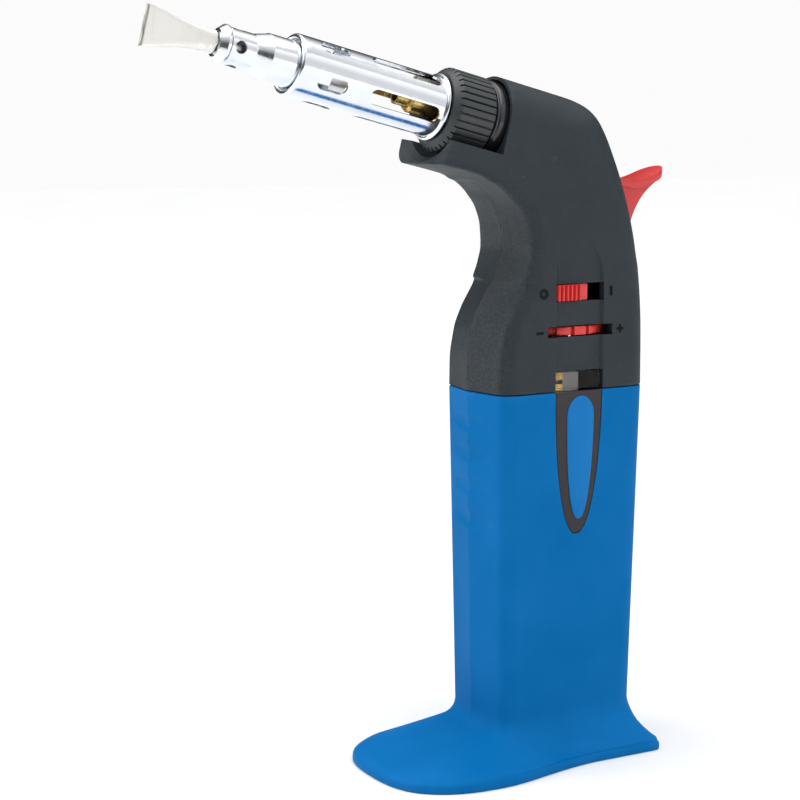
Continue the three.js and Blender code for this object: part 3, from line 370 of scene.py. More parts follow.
def turned(name, profile, material, segments=96, smooth_angle=35):
    """A body turned about Z from (radius, z) points; a profile that repeats its first point is a ring."""
    closed = profile[0] == profile[-1]
    points = profile[:-1] if closed else profile
    angles = np.linspace(0, 2 * math.pi, segments, endpoint=False)
    points = [(max(r, 1e-4), z) for r, z in points]
    rings = [[(r * math.cos(a), r * math.sin(a), z) for a in angles] for r, z in points]
    made = mesh(name, *loft(rings, closed), material, smooth_angle)
    tidy(made, smooth_angle, weld=0.002)
    return made


def level_ring(angles, radius, z, centre_x=0.0):
    """A ring at one height, with one radius or a radius for each angle."""
    radius = np.broadcast_to(radius, len(angles))
    x, y = centre_x + radius * np.cos(angles), radius * np.sin(angles)
    return np.column_stack((x, y, np.full(len(angles), z)))


def prism(name, outline, y, material):
    """An outline of (x, z) points pushed along Y."""
    rings = [[(px, depth, pz) for px, pz in outline] for depth in y]
    return mesh(name, *loft(rings), material)


NOZZLE = (
    Matrix.Translation((HOOD[0] * MM, 0, HOOD[1] * MM)) @ Matrix.Rotation(TILT - math.pi / 2, 4, "Y")
)


def on_nozzle(obj):
    """Moves a mesh made along Z to lie along the nozzle's axis, measured from the hood's rim."""
    obj.data.transform(NOZZLE)
    return obj


def rod(name, radius, z, material, segments=48):
    return turned(name, [(0, z[0]), (radius, z[0]), (radius, z[1]), (0, z[1])], material, segments)


# ---------------------------------------------------------------- the body's section
def fillet(corner, before, after, radius, steps):
    """Arc points that round a corner between its two neighbours."""
    corner, before, after = (np.array(p, float) for p in (corner, before, after))
    a, b = before - corner, after - corner
    la, lb = np.linalg.norm(a), np.linalg.norm(b)
    a, b = a / la, b / lb
    half = 0.5 * math.acos(np.clip(a @ b, -1, 1))
    tangent = min(radius / math.tan(half), 0.48 * la, 0.48 * lb)
    radius = tangent * math.tan(half)
    middle = a + b
    centre = corner + middle / np.linalg.norm(middle) * radius / math.sin(half)
    start, end = corner + a * tangent - centre, corner + b * tangent - centre
    turn = math.acos(np.clip(start @ end / (radius * radius), -1, 1))
    arc = []
    for i in range(steps + 1):
        t = i / steps
        arc.append(centre + (start * math.sin((1 - t) * turn) + end * math.sin(t * turn)) / math.sin(turn))
    return arc


def half_section(length, half, facet, band, share, r1, r2, rear, slants=(1, 1), counts=(10, 8, 8, 24, 14, 8)):
    """Half of one section from the front ridge to the rear: facet, corner, side, corner, rear."""
    front_slant, rear_slant = slants
    ridge = (0, 0)
    facet_end = (facet * front_slant, share * half)
    band_end = (band * front_slant, half)
    side_end = (length - rear * rear_slant, half)
    first = fillet(facet_end, ridge, band_end, r1, counts[1])
    second = fillet(band_end, facet_end, side_end, r2, counts[2])
    points = [np.array(ridge) + (first[0] - ridge) * i / counts[0] for i in range(counts[0])]
    points += first + second
    start, end = second[-1], np.array(side_end)
    points += [start + (end - start) * i / counts[3] for i in range(1, counts[3])]
    for i in range(counts[4] + 1):
        angle = 0.5 * math.pi * i / counts[4]
        along = length - (rear - rear * math.sin(angle)) * rear_slant
        points.append(np.array((along, half - rear + rear * math.cos(angle))))
    last = points[-1]
    points += [np.array((last[0], last[1] * (1 - i / counts[5]))) for i in range(1, counts[5] + 1)]
    return np.array(points)


def smooth(x, low, high):
    t = np.clip((x - low) / (high - low), 0, 1)
    return t * t * (3 - 2 * t)


# ---------------------------------------------------------------- grip
def grip_size(z):
    drop = JOIN_Z - z
    return (
        GRIP_FRONT + DRAFT_ALONG * drop,
        GRIP_REAR - DRAFT_ALONG * drop,
        GRIP_HALF - DRAFT_ACROSS * drop,
    )


def grip_outline(z):
    front, rear, half = grip_size(z)
    counts = (28, 8, 8, 26, 16, 8)
    points = half_section(rear - front, half, FACET, BAND, SHARE, 2.4, 3.4, REAR_R, counts=counts)
    points[:, 0] += front
    return points


def bezier(*corners, steps=16):
    corners = [np.array(p, float) for p in corners]
    made = []
    for i in range(steps):
        t = i / steps
        weights = ((1 - t) ** 3, 3 * t * (1 - t) ** 2, 3 * t * t * (1 - t), t**3)
        made.append(sum(w * p for w, p in zip(weights, corners)))
    return made


def foot_outline():
    """Half of the foot on the ground: a broad toe, a waist and a square heel."""
    made = bezier((-51.6, 0), (-51.6, 8.5), (-50.4, 13.8), (-46.3, 17.6))
    made += bezier((-46.3, 17.6), (-41, 22.4), (-34, 23.9), (-26, 23.9))
    made += bezier((-26, 23.9), (-18, 24), (-9, 20.3), (4, 19.8))
    made += bezier((4, 19.8), (10, 20), (16, 20.2), (22.6, 20.4))
    made += bezier((22.6, 20.4), (24.6, 20.5), (25.2, 19.6), (25.4, 18))
    made += bezier((25.4, 18), (26.4, 11), (26.9, 6), (27, 0))
    return np.array(made + [np.array((27.0, 0.0))])


def reach(outline, angles):
    """Distance from the foot's centre to an outline in each direction."""
    a = outline[:-1] - (FOOT_X, 0)
    edge = outline[1:] - outline[:-1]
    found = []
    for angle in angles:
        d = np.array((math.cos(angle), math.sin(angle)))
        turn = d[0] * edge[:, 1] - d[1] * edge[:, 0]
        turn = np.where(np.abs(turn) < 1e-12, 1e-12, turn)
        share = -(d[0] * a[:, 1] - d[1] * a[:, 0]) / turn
        distance = (a[:, 0] * edge[:, 1] - a[:, 1] * edge[:, 0]) / turn
        inside = (share > -1e-6) & (share < 1 + 1e-6) & (distance > 0)
        found.append(distance[inside].max())
    return np.array(found)


def raised(flat, z):
    """Flat points lifted to one height."""
    return np.column_stack((flat, np.full(len(flat), z)))


def mirror_ring(half):
    """A full ring from its half at +Y."""
    half = np.asarray(half)
    other = half[1:-1][::-1] * (1, -1, 1)
    return np.vstack((half, other))


def finger_hollow(y, z):
    """How far the four finger dishes sink into the front facets at a point."""
    half_wide, half_tall, depth = 8.9, 2.35, 0.6
    sunk = np.zeros_like(y)
    for middle in FINGER_Z:
        size = np.hypot(y / half_wide, (z - middle) / half_tall)
        sunk = np.maximum(sunk, depth * np.clip(1 - size * size, 0, 1))
    return sunk


def grip_rings():
    base_outline = grip_outline(FLARE_TOP)
    angles = np.arctan2(base_outline[:, 1], base_outline[:, 0] - FOOT_X)
    angles[0], angles[-1] = math.pi, 0.0
    foot, base = reach(foot_outline(), angles), reach(base_outline, angles)
    directions = np.stack((np.cos(angles), np.sin(angles)), 1)

    def ring(distance, z):
        flat = directions * np.asarray(distance)[:, None] + (FOOT_X, 0)
        return mirror_ring(np.column_stack((flat, np.broadcast_to(z, len(flat)))))

    rings = []
    for inward, z in ((0.5, 0), (0.14, 0.14), (0, 0.5), (0, 1.2), (0.05, 1.62), (0.22, 2.08), (0.55, 2.42)):
        rings.append(ring(foot - inward, z))
    toe = np.maximum(smooth(-np.cos(angles), -0.1, 0.95), smooth(np.cos(angles), 0.4, 0.8))
    run = foot - base
    height = FLARE_TOP - RIM
    for share in np.linspace(0.955, 0.0, 34) ** 1.25:
        left = 1 - share
        radius = 3.4
        into = np.clip(radius - share * run, 0, radius)
        ramp = (height - radius) * left + radius - np.sqrt(radius**2 - into**2)
        hollow = height * (0.45 * left**2.3 + 0.55 * (1 - math.sqrt(max(0, 1 - left * left))))
        rings.append(ring(base + share * run, RIM + toe * ramp + (1 - toe) * hollow))
    levels = np.concatenate((np.linspace(15, 57, 12), np.linspace(58, 92, 104), [94, 95.8, 96.25, 96.42]))
    for z in levels:
        edge = 0.25 * max(0, (z - 96.2) / 0.25)
        made = ring(reach(grip_outline(z), angles) - edge, z)
        ahead = made[:, 0] < 0
        made[:, 0] += finger_hollow(made[:, 1], made[:, 2]) * ahead
        rings.append(made)
    return rings


def side_level(z):
    """Y of the grip's switch side at a height."""
    return -(GRIP_HALF - DRAFT_ACROSS * (JOIN_Z - np.asarray(z, float)))


def tongue_outline(grow, top):
    half, tip = TONGUE_HALF + grow, TONGUE_TIP - grow
    angles = np.linspace(0, math.pi / 2, 41)
    x = half * np.cos(angles) ** 0.86
    z = tip + (JOIN_Z - tip) * (1 - np.sin(angles)) ** 0.95
    z[0] = top
    right = np.column_stack((TONGUE_X + x, z))
    left = np.column_stack((TONGUE_X - x, z))[::-1][1:]
    return np.vstack((right, left))


def label_outline(grow):
    half = LABEL_HALF + grow
    tip, shoulder = LABEL_Z[0] - grow, LABEL_Z[1] - LABEL_HALF - 1
    angles = np.linspace(0, math.pi / 2, 30)
    fall = tip + (shoulder - tip) * (1 - np.sin(angles)) ** 0.95
    rise = shoulder + (LABEL_Z[1] + grow - shoulder) * np.sin(angles)
    taper = np.column_stack((half * np.cos(angles) ** 0.8, fall))
    crown = np.column_stack((half * np.cos(angles), rise))
    right = np.vstack((taper[::-1], crown[1:]))
    left = (right * (-1, 1))[::-1][1:-1]
    return np.vstack((right, left)) + (LABEL_X, 0)


def side_inlay(name, outline_at, steps, material):
    """A plate set into the switch side; steps are (depth below the surface, outline grow)."""
    rings = []
    for depth, grow in steps:
        outline = outline_at(grow)
        rings.append(np.column_stack((outline[:, 0], side_level(outline[:, 1]) + depth, outline[:, 1])))
    return mesh(name, *loft(rings), material)


def grip_well(name, inset, levels, material):
    """A straight well this far inside the grip's outline."""
    rings = []
    for z in levels:
        front, rear, half = grip_size(min(z, JOIN_Z))
        length, half = rear - front - 2 * inset, half - inset
        points = half_section(length, half, FACET, BAND, SHARE, 2, 2, REAR_R - inset)
        points[:, 0] += front + inset
        rings.append(mirror_ring(raised(points, z)))
    return mesh(name, *loft(rings), material)


def build_grip():
    grip = mesh("grip", *loft(grip_rings()), BLUE)
    cavity = grip_well("grip_cavity", WALL, (-1, 3.0, 13, 60, 100), BLUE)
    recess_rings = []
    outline = foot_outline()
    inner = (outline - (FOOT_X, 0)) * 0.93 + (FOOT_X, 0)
    for z in (-1, 2.05):
        recess_rings.append(mirror_ring(raised(inner, z)))
    recess = mesh("grip_recess", *loft(recess_rings), BLUE)
    slot = prism("tongue_slot", tongue_outline(0.16, JOIN_Z + 4), (-20, -11), BLUE)
    combine(grip, [cavity, recess, slot])
    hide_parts("grip_shell")
    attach(grip, "torch_body")

    tongue_steps = [(1.9, 0), (0.35, 0), (0.14, -0.08), (0.05, -0.3), (0.05, -0.5)]
    tongue = side_inlay("tank_tongue", lambda g: tongue_outline(g, JOIN_Z - 0.2), tongue_steps, SMOKY)
    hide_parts("level_window")
    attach(tongue, "torch_body")

    label_steps = [(0.02, 0), (-0.12, 0), (-0.2, -0.1), (-0.23, -0.3)]
    label = side_inlay("tongue_label", label_outline, label_steps, LABEL_BLUE)
    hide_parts("label_plate")
    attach(label, "torch_body")


# ---------------------------------------------------------------- head
def nozzle_point(along, up):
    return (
        HOOD[0] - along * math.cos(TILT) + up * math.sin(TILT),
        HOOD[1] + along * math.sin(TILT) + up * math.cos(TILT),
    )


def station(front, rear, half, facet, band, share, rear_r, r1=2.4, r2=3.4):
    return [*front, *rear, half, facet, band, share, r1, r2, rear_r]


def round_station(front, rear, half, radius, rear_r):
    """A front rounded to a radius: a bevel whose two corners' arcs meet."""
    cut = radius * (1 - math.tan(math.pi / 8))
    return station(front, rear, half, 0.001, cut, (half - cut) / half, rear_r, radius, radius)


STATIONS = np.array([
    station((GRIP_FRONT, 96.75), (GRIP_REAR, 96.75), 13.9, FACET, BAND, SHARE, REAR_R),
    station((-23.5, 104), (23.85, 104), 13.9, 2.2, 5.5, 0.878, 6.3),
    station((-22.7, 111.2), (23.7, 112), 13.9, 2.6, 5.6, 0.88, 6.3),
    station((-20.6, 117), (23.3, 120), 13.85, 2.6, 5.6, 0.885, 6.4),
    station((-17.2, 122.6), (22.6, 127.5), 13.75, 2.3, 5.2, 0.89, 6.6),
    station((-15.9, 124.6), (22.2, 130), 13.7, 1.25, 4.6, 0.9, 6.8),
    station((-14.1, 128.6), (21.6, 134), 13.55, 1.05, 4.2, 0.91, 6.9),
    station((-13.2, 132.6), (20.8, 138.5), 13.35, 0.95, 3.9, 0.92, 7.1),
    station((-13.6, 137.4), (19.6, 144), 13.05, 0.9, 3.7, 0.92, 7.4),
    station((-15.2, 141.8), (18.0, 150), 12.7, 0.9, 3.6, 0.92, 7.9),
    round_station((-17.4, 145.4), (16.1, 156.3), 12.3, 3.4, 8.8),
    round_station((-19.2, 147.2), (14.4, 161), 12.1, 3.4, 9.6),
    round_station((-20.2, 148.0), (12.4, 165), 12, 3.4, 10.6),
    round_station((-20.8, 148.4), (9.9, 167.6), 11.9, 3.4, 11.3),
    round_station((-21.4, 148.8), (6.4, 169.3), 11.85, 3.4, 11.6),
    round_station((-22.3, 149.2), nozzle_point(-16, HOOD_R), 11.8, 3.4, 11.75),
    round_station((-23.4, 149.6), nozzle_point(-8, HOOD_R), 11.75, 3.4, 11.75),
    round_station(nozzle_point(3, NOSE_DROP), nozzle_point(3, HOOD_R), 11.75, 3.4, 11.75),
    round_station(nozzle_point(20, NOSE_DROP), nozzle_point(20, HOOD_R), 11.75, 3.4, 11.75),
])


def between_stations(t):
    """Smooth values between the stations, without overshoot (monotone cubic)."""
    i = min(int(t), len(STATIONS) - 2)
    u = t - i
    rows = STATIONS[[max(i - 1, 0), i, i + 1, min(i + 2, len(STATIONS) - 1)]]
    before, here, after = rows[1] - rows[0], rows[2] - rows[1], rows[3] - rows[2]

    def slope(a, b):
        safe = np.where(np.abs(a + b) < 1e-9, 1, a + b)
        return np.where(a * b > 0, 2 * a * b / safe, 0)

    m0 = slope(before, here) if i > 0 else here
    m1 = slope(here, after) if i < len(STATIONS) - 2 else here
    return (
        rows[1] * (1 + 2 * u) * (1 - u) ** 2
        + m0 * u * (1 - u) ** 2
        + rows[2] * u * u * (3 - 2 * u)
        + m1 * u * u * (u - 1)
    )


def head_rings(steps, inset=0.0, middle=SEAM, counts=(18, 8, 8, 100, 18, 8)):
    values = np.array([between_stations(t) for t in steps])
    rings = []
    for i, row in enumerate(values):
        front, rear = row[0:2].copy(), row[2:4].copy()
        half, facet, band, share, r1, r2, rear_r = row[4:]
        chord = (rear - front) / np.linalg.norm(rear - front)
        slants = []
        for side in (slice(0, 2), slice(2, 4)):
            tangent = values[min(i + 1, len(values) - 1)][side] - values[max(i - 1, 0)][side]
            tangent /= np.linalg.norm(tangent)
            slants.append(1 / max(0.62, abs(chord[0] * tangent[1] - chord[1] * tangent[0])))
        front += chord * inset * slants[0]
        rear -= chord * inset * slants[1]
        section = half_section(
            np.linalg.norm(rear - front), half - inset, facet, band, share,
            max(0.6, r1 - inset), max(0.6, r2 - inset), rear_r - inset, slants, counts,
        )
        flat = front + section[:, :1] * chord
        rings.append(np.column_stack((flat[:, 0], np.maximum(middle, section[:, 1]), flat[:, 1])))
    return rings


def channel_depth(x, z):
    """The shallow scoop down the switch side: soft at the front, crisp at the rear, fading at its top."""
    rear_edge = CHANNEL_X[1] - 0.05 * np.clip(z - 125.5, 0, 20) ** 2
    before_rear = 1 - smooth(x, rear_edge - 0.9, rear_edge + 0.1)
    across = smooth(x, CHANNEL_X[0] - 0.2, CHANNEL_X[0] + 1.5) * before_rear
    fade = 1 - smooth(z, 125.5, 137)
    return CHANNEL_DEPTH * 1.05 * across * fade


def nozzle_cutters():
    """The open cradle, its front face, the trough for the collar and the hood's bore."""
    above = box("above", (CRADLE_TOP, 30), (-30, 30), (0, 40))
    ahead = box("ahead", (-30, 30), (-30, 30), (NOSE_REACH, 40))
    trough = rod("trough", TROUGH_R, (0, 40), BLACK, 96)
    bore = HOOD_BORE
    profile = [(0, -5.8), (bore, -5.8), (bore, -0.7), (bore + 0.25, -0.15), (bore + 0.7, 0.4), (0, 0.4)]
    throat = turned("throat", profile, BLACK)
    way = rod("way", 5.6, (-14, 1), BLACK, 48)
    low, high = NOSE_REACH - 1.5, NOSE_REACH + 0.4
    lip = turned("cradle_bevel", [(0, low), (TROUGH_R, low), (TROUGH_R + 1.9, high), (0, high)], BLACK)
    return [on_nozzle(tool) for tool in (above, ahead, trough, throat, way, lip)]


def head_half(name, side):
    """One half of the head: side is -1 for the switch half and +1 for the other."""
    fine = np.concatenate((
        np.linspace(0, 4, 56, endpoint=False),
        np.linspace(4, 8, 60, endpoint=False),
        np.linspace(8, 16, 64, endpoint=False),
        np.linspace(16, 18, 8),
    ))
    rings = head_rings(fine)
    for ring in rings:
        if side < 0:
            flat = smooth(ring[:, 1], 13.0, 13.5)
            ring[:, 1] -= channel_depth(ring[:, 0], ring[:, 2]) * flat
        ring[:, 1] *= side
    half = mesh(name, *loft(rings), CHARCOAL)
    cavity_rings = head_rings(np.linspace(0, 15.6, 48), WALL, -1.0, (5, 4, 4, 8, 8, 4))
    floor = cavity_rings[0].copy()
    floor[:, 2] -= 3
    for ring in cavity_rings:
        ring[:, 1] *= side
    floor[:, 1] *= side
    cavity = mesh("cavity", *loft([floor, *cavity_rings]), CHARCOAL)
    wheel_y = (9, 20) if side > 0 else (-20, -9)
    wheel_slot = box("wheel_slot", WHEEL_SLOT_X, wheel_y, (WHEEL[2] - GAP, WHEEL[3] + GAP))
    rear_slot = box("rear_slot", (8, 40), (-TRIGGER_HALF - GAP, TRIGGER_HALF + GAP), (131.2, 152.8))
    return half, [cavity, *nozzle_cutters(), wheel_slot, rear_slot]


def join_lip(side):
    """The lip that hangs from one head half's wall and fits into the grip."""
    lip = grip_well("join_lip", LIP_INSET, (JOIN_Z - LIP_DEPTH, JOIN_Z + 1.2), CHARCOAL)
    combine(lip, [grip_well("lip_shoulder", WALL - 0.5, (JOIN_Z + 0.4, JOIN_Z + 2), CHARCOAL)], "UNION")
    inside = grip_well("lip_inside", LIP_INSET + LIP_THICKNESS, (JOIN_Z - 5, JOIN_Z + 4), CHARCOAL)
    away = sorted((-side * 20, side * SEAM))
    tools = [inside, box("lip_seam", (-40, 40), away, (80, 110))]
    if side < 0:
        tools.append(box("lip_slot", CHANNEL_X, (-20, -9), (80, 110)))
    return combine(lip, tools)


def rod_y(name, radius, y, x, z, material=BLACK, segments=32):
    """A round bar along Y."""
    made = rod(name, radius, y, material, segments)
    made.data.transform(Matrix.Translation((x * MM, 0, z * MM)) @ Matrix.Rotation(-math.pi / 2, 4, "X"))
    return made


def build_head():
    right, tools = head_half("head_switch_half", -1)
    tools.append(box("slider_slot", CHANNEL_X, (-20, -9), SLIDER_Z))
    tools.append(box("window_slot", CHANNEL_X, (-20, -9), (90, WINDOW_TOP)))
    combine(right, tools)
    left, tools = head_half("head_plain_half", 1)
    for x, z in HEAD_SCREWS:
        tools.append(rod_y("screw_sink", 2.6, (10.2, 20), x, z))
    combine(left, tools)
    for half, node, side in ((right, "head_right", -1), (left, "head_left", 1)):
        combine(half, [join_lip(side)], "UNION")
        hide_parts(node)
        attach(half, "torch_body")


# ---------------------------------------------------------------- markings
MARK_RAISE = 0.12  # how far a mark stands out of the side
MARK_SINK = 0.15  # how far its foot goes into the side
MARK_STROKE = 0.34  # half the width of a stroke
MARK_BEVEL = 0.05


def mark_strip(centre, along, half_length, face):
    """Points and faces of one straight raised stroke with round ends."""
    x, z = centre
    turn = np.linspace(-math.pi / 2, math.pi / 2, 9)
    end = [(half_length + MARK_STROKE * math.cos(a), MARK_STROKE * math.sin(a)) for a in turn]
    outline = np.array(end + [(-u, -v) for u, v in end])
    c, s = math.cos(along), math.sin(along)
    rings = []
    for out, shrink in ((-MARK_SINK, 0), (MARK_RAISE - MARK_BEVEL, 0), (MARK_RAISE, MARK_BEVEL)):
        local = outline * (1 - shrink / (half_length + MARK_STROKE), 1 - shrink / MARK_STROKE)
        flat = np.column_stack((x + c * local[:, 0] - s * local[:, 1], z + s * local[:, 0] + c * local[:, 1]))
        rings.append(np.column_stack((flat[:, 0], np.full(len(flat), face - out), flat[:, 1])))
    return loft(rings)


def mark_ring(centre, radius, face):
    """Points and faces of one raised ring."""
    x, z = centre
    angles = np.linspace(0, 2 * math.pi, 48, endpoint=False)
    inner, outer = radius - MARK_STROKE, radius + MARK_STROKE
    low, shoulder, high = face + MARK_SINK, face - MARK_RAISE + MARK_BEVEL, face - MARK_RAISE
    section = (
        (outer, low), (outer, shoulder), (outer - MARK_BEVEL, high),
        (inner + MARK_BEVEL, high), (inner, shoulder), (inner, low),
    )
    rings = [[(x + r * math.cos(a), y, z + r * math.sin(a)) for a in angles] for r, y in section]
    return loft(rings, closed=True)


def mark(name, shape):
    # the near-black is painted shade, not a separate ink
    made = mesh(name, *shape, PAINTED_MARK_SHADE)
    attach(made, "torch_body")
    return made


def build_marks():
    """Plain symbols, no lettering: ring and bar by the slider, minus and plus by the wheel, all in a
    near-black of painted shade.
    """
    slider_z = sum(SLIDER_Z) / 2
    wheel_z = (WHEEL[2] + WHEEL[3]) / 2
    face = float(side_level(JOIN_Z))
    mark("mark_ring", mark_ring((CHANNEL_X[0] - 3.8, slider_z), 0.95, face))
    mark("mark_bar", mark_strip((CHANNEL_X[1] + 2.2, slider_z), math.pi / 2, 0.95, face))
    mark("mark_minus", mark_strip((WHEEL_SLOT_X[0] - 2.4, wheel_z), 0, 0.8, face))
    plus = mark("mark_plus", mark_strip((WHEEL_SLOT_X[1] + 2.4, wheel_z), 0, 0.8, face))
    upright = mesh("upright", *mark_strip((WHEEL_SLOT_X[1] + 2.4, wheel_z), math.pi / 2, 0.8, face), PAINTED_MARK_SHADE)
    combine(plus, [upright], "UNION")


# ---------------------------------------------------------------- red controls
def build_slider():
    x0, x1, stub = CHANNEL_X[0] + 0.2, CHANNEL_X[0] + 7.9, CHANNEL_X[0] + 10.3
    ribs = 6
    pitch = (x1 - x0) / ribs
    crown = []
    for i in range(ribs * 12 + 1):
        along = i / 12
        wave = 0.5 - 0.5 * math.cos(2 * math.pi * along)
        crown.append((x0 + along * pitch, -13.15 - 0.95 * min(1, wave * 1.5) ** 0.8))
    outline = [(x0, -11.2), *crown, (x1 + 0.1, -12.7), (stub, -12.6), (stub, -11.2)]
    z0, z1 = SLIDER_Z[0] + 0.25, SLIDER_Z[1] - 0.25
    rings = []
    middle = np.array(((x0 + x1) / 2, -12.2))
    for z, shrink in ((z0, 0.06), (z0 + 0.2, 0.0), (z1 - 0.2, 0.0), (z1, 0.06)):
        flat = np.array(outline) + (middle - np.array(outline)) * shrink * (0.35, 1)
        rings.append(raised(flat, z))
    button = mesh("slider_button", *loft(rings), RED, 50)
    flange = box("flange", (-7.4, stub), (-11.5, -10.6), (118.4, 125.2), RED)
    ramp_outline = [(-7.4, 118.5), (stub - 0.2, 118.5), (stub - 0.2, 118.75), (-1, 118.75), (-7.4, 121.2)]
    ramp = prism("ramp", ramp_outline, (-10.8, -8.6), RED)
    combine(button, [flange, ramp], "UNION", 50)
    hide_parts("gas_slider")
    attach(button, "slider")


def build_wheel():
    x, radius, z0, z1 = WHEEL
    notches = 18
    angles = np.linspace(0, 2 * math.pi, notches * 24, endpoint=False)
    phase = (angles * notches / (2 * math.pi)) % 1
    notch = smooth(np.abs(phase - 0.5), 0.38, 0.42)
    steps = ((z0, 0.35), (z0 + 0.12, 0.12), (z0 + 0.35, 0), (z1 - 0.35, 0), (z1 - 0.12, 0.12), (z1, 0.35))
    rings = [level_ring(angles, radius - drop - 1.1 * notch, z, x) for z, drop in steps]
    rings += [level_ring(angles, 2.6, z, x) for z in (z1, z0)]
    wheel = mesh("flame_control_wheel", *loft(rings, closed=True), RED)
    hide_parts("flame_wheel")
    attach(wheel, "wheel")


def catmull(points, steps):
    """A smooth open curve through points."""
    points = [np.array(p, float) for p in points]
    padded = [2 * points[0] - points[1], *points, 2 * points[-1] - points[-2]]
    made = []
    for i in range(1, len(padded) - 2):
        p0, p1, p2, p3 = padded[i - 1 : i + 3]
        for k in range(steps):
            t = k / steps
            made.append(0.5 * (2 * p1 + (p2 - p0) * t + (2 * p0 - 5 * p1 + 4 * p2 - p3) * t**2
                               + (3 * p1 - p0 - 3 * p2 + p3) * t**3))
    return made + [points[-1]]


def round_ended(name, outline, half, tip_x, material):
    """An (x, z) outline given width along Y, with a rounded end in plan that reaches tip_x."""
    body = prism(name, outline, (-half, half), material)
    centre = tip_x - half
    turn = np.linspace(-math.pi / 2, math.pi / 2, 48)
    plan = [(centre + half * math.cos(a), half * math.sin(a)) for a in turn]
    plan = [(0, -half), *plan, (0, half)]
    rings = [[(x, y, z) for x, y in plan] for z in (120, 160)]
    column = mesh("column", *loft(rings), material)
    return combine(body, [column], "INTERSECT", 40)


def build_trigger():
    """The trigger: a dished thumb pad with a deep rim on a curved web, and a block inside the head."""
    dish = [(14.5, 149.9), (20.5, 149.6), (24.6, 148.9), (30, 149.95), (36.6, 152.6)]
    top = catmull(dish, 10)
    under = [point - (0, 2.15) for point in reversed(top)]
    pad = round_ended("thumb_trigger", [*top, *under], TRIGGER_HALF, 36.1, RED)
    bevel(pad, 0.3, 3, 40, 40)
    web_edge = catmull([(34.4, 149.4), (31.2, 148.0), (27.6, 145.0), (25.0, 141.2), (23.2, 136.8)], 10)
    web_top = [point - (0, 1.2) for point in top[:31]]
    web_outline = [(14.5, 139.0), (14.5, 147.6), *web_top, *web_edge]
    web_outline += [(22.6, 136.3), (17.6, 136.2), (17.6, 139.0)]
    web = round_ended("web", web_outline, TRIGGER_HALF - 0.35, 35.4, RED)
    block = box("block", (9, 18.6), (-TRIGGER_HALF, TRIGGER_HALF), (139.4, 148.8), RED)
    combine(pad, [web, block], "UNION", 40)
    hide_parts("trigger")
    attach(pad, "trigger_group")


# ---------------------------------------------------------------- nozzle
def build_collar():
    """The collar: wide flat ribs with narrow grooves, cut by a plain cone at its front."""
    start, end, radius = KNOB
    ribs, samples = 36, 20
    angles = np.linspace(0, 2 * math.pi, ribs * samples, endpoint=False)
    phase = (angles * ribs / (2 * math.pi)) % 1
    groove = 1 - smooth(np.abs(phase - 0.5), 0.07, 0.16)
    ribbed = radius - 0.8 * groove
    bore = BARREL_R + 0.3
    cone_start, cone_radius = end - 1.9, 9.0

    steps = [
        (np.minimum(ribbed, radius - 0.9), start),
        (np.minimum(ribbed, radius - 0.3), start + 0.3),
        (ribbed - 0.02, start + 0.7),
        (ribbed, start + 1),
        (ribbed, start + 5),
    ]
    for share in np.linspace(0, 1, 26):
        cone = radius + 0.15 + (cone_radius - radius - 0.15) * share
        steps.append((np.minimum(ribbed, cone), cone_start + share * (end - 0.25 - cone_start)))
    steps += [(cone_radius - 0.12, end - 0.06), (cone_radius - 0.3, end), (bore + 0.2, end)]
    steps += [(bore, end - 0.2), (bore, end - 0.6), (bore, start)]
    rings = [level_ring(angles, r, z) for r, z in steps]
    collar = on_nozzle(mesh("ribbed_collar", *loft(rings, closed=True), COLLAR, 34))
    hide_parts("knob_collar")
    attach(collar, "collar")


def slot_cutter(start, end, width, angle):
    """A stadium-shaped punch through the barrel's wall."""
    middle, straight = (start + end) / 2, end - start - width
    turn = np.linspace(-math.pi / 2, math.pi / 2, 15)
    outline = [(width / 2 * math.sin(a), middle + straight / 2 + width / 2 * math.cos(a)) for a in turn]
    outline += [(-x, 2 * middle - z) for x, z in outline]
    cutter = prism("punch", outline, (BARREL_R - 3, BARREL_R + 3), CHROME)
    cutter.data.transform(Matrix.Rotation(angle, 4, "Z"))
    return cutter


def build_barrel():
    start, end, roll = KNOB[1], BARREL_END, BARREL_LIP
    turn = np.linspace(0, math.pi, 14)
    lip = [(BARREL_R - roll + roll * math.cos(a), end - roll + roll * math.sin(a)) for a in turn]
    turn = np.linspace(0, math.pi, 12)
    bead = [(7.55 + 0.85 * math.sin(a), start + 0.85 - 0.55 * math.cos(a)) for a in turn]
    profile = [(6.9, 6), (7.4, 6), (BARREL_R, 6.15), *bead, (BARREL_R, start + 1.6), (BARREL_R, end - 2)]
    profile += [*lip, (6.15, end - 1.1), (6.5, end - 1.7), (6.9, end - 2.2), (6.9, 6)]
    barrel = turned("slotted_barrel", profile, CHROME, 144, 30)
    tools = []
    for i in range(SLOT_COUNT):
        angle = FIRST_SLOT - math.pi / 2 + i * 2 * math.pi / SLOT_COUNT
        tools.append(slot_cutter(*SHORT_SLOT, angle))
        tools.append(slot_cutter(*LONG_SLOT, angle))
    combine(barrel, tools, smooth_angle=30)
    on_nozzle(barrel)
    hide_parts("barrel")
    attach(barrel, "torch_body")


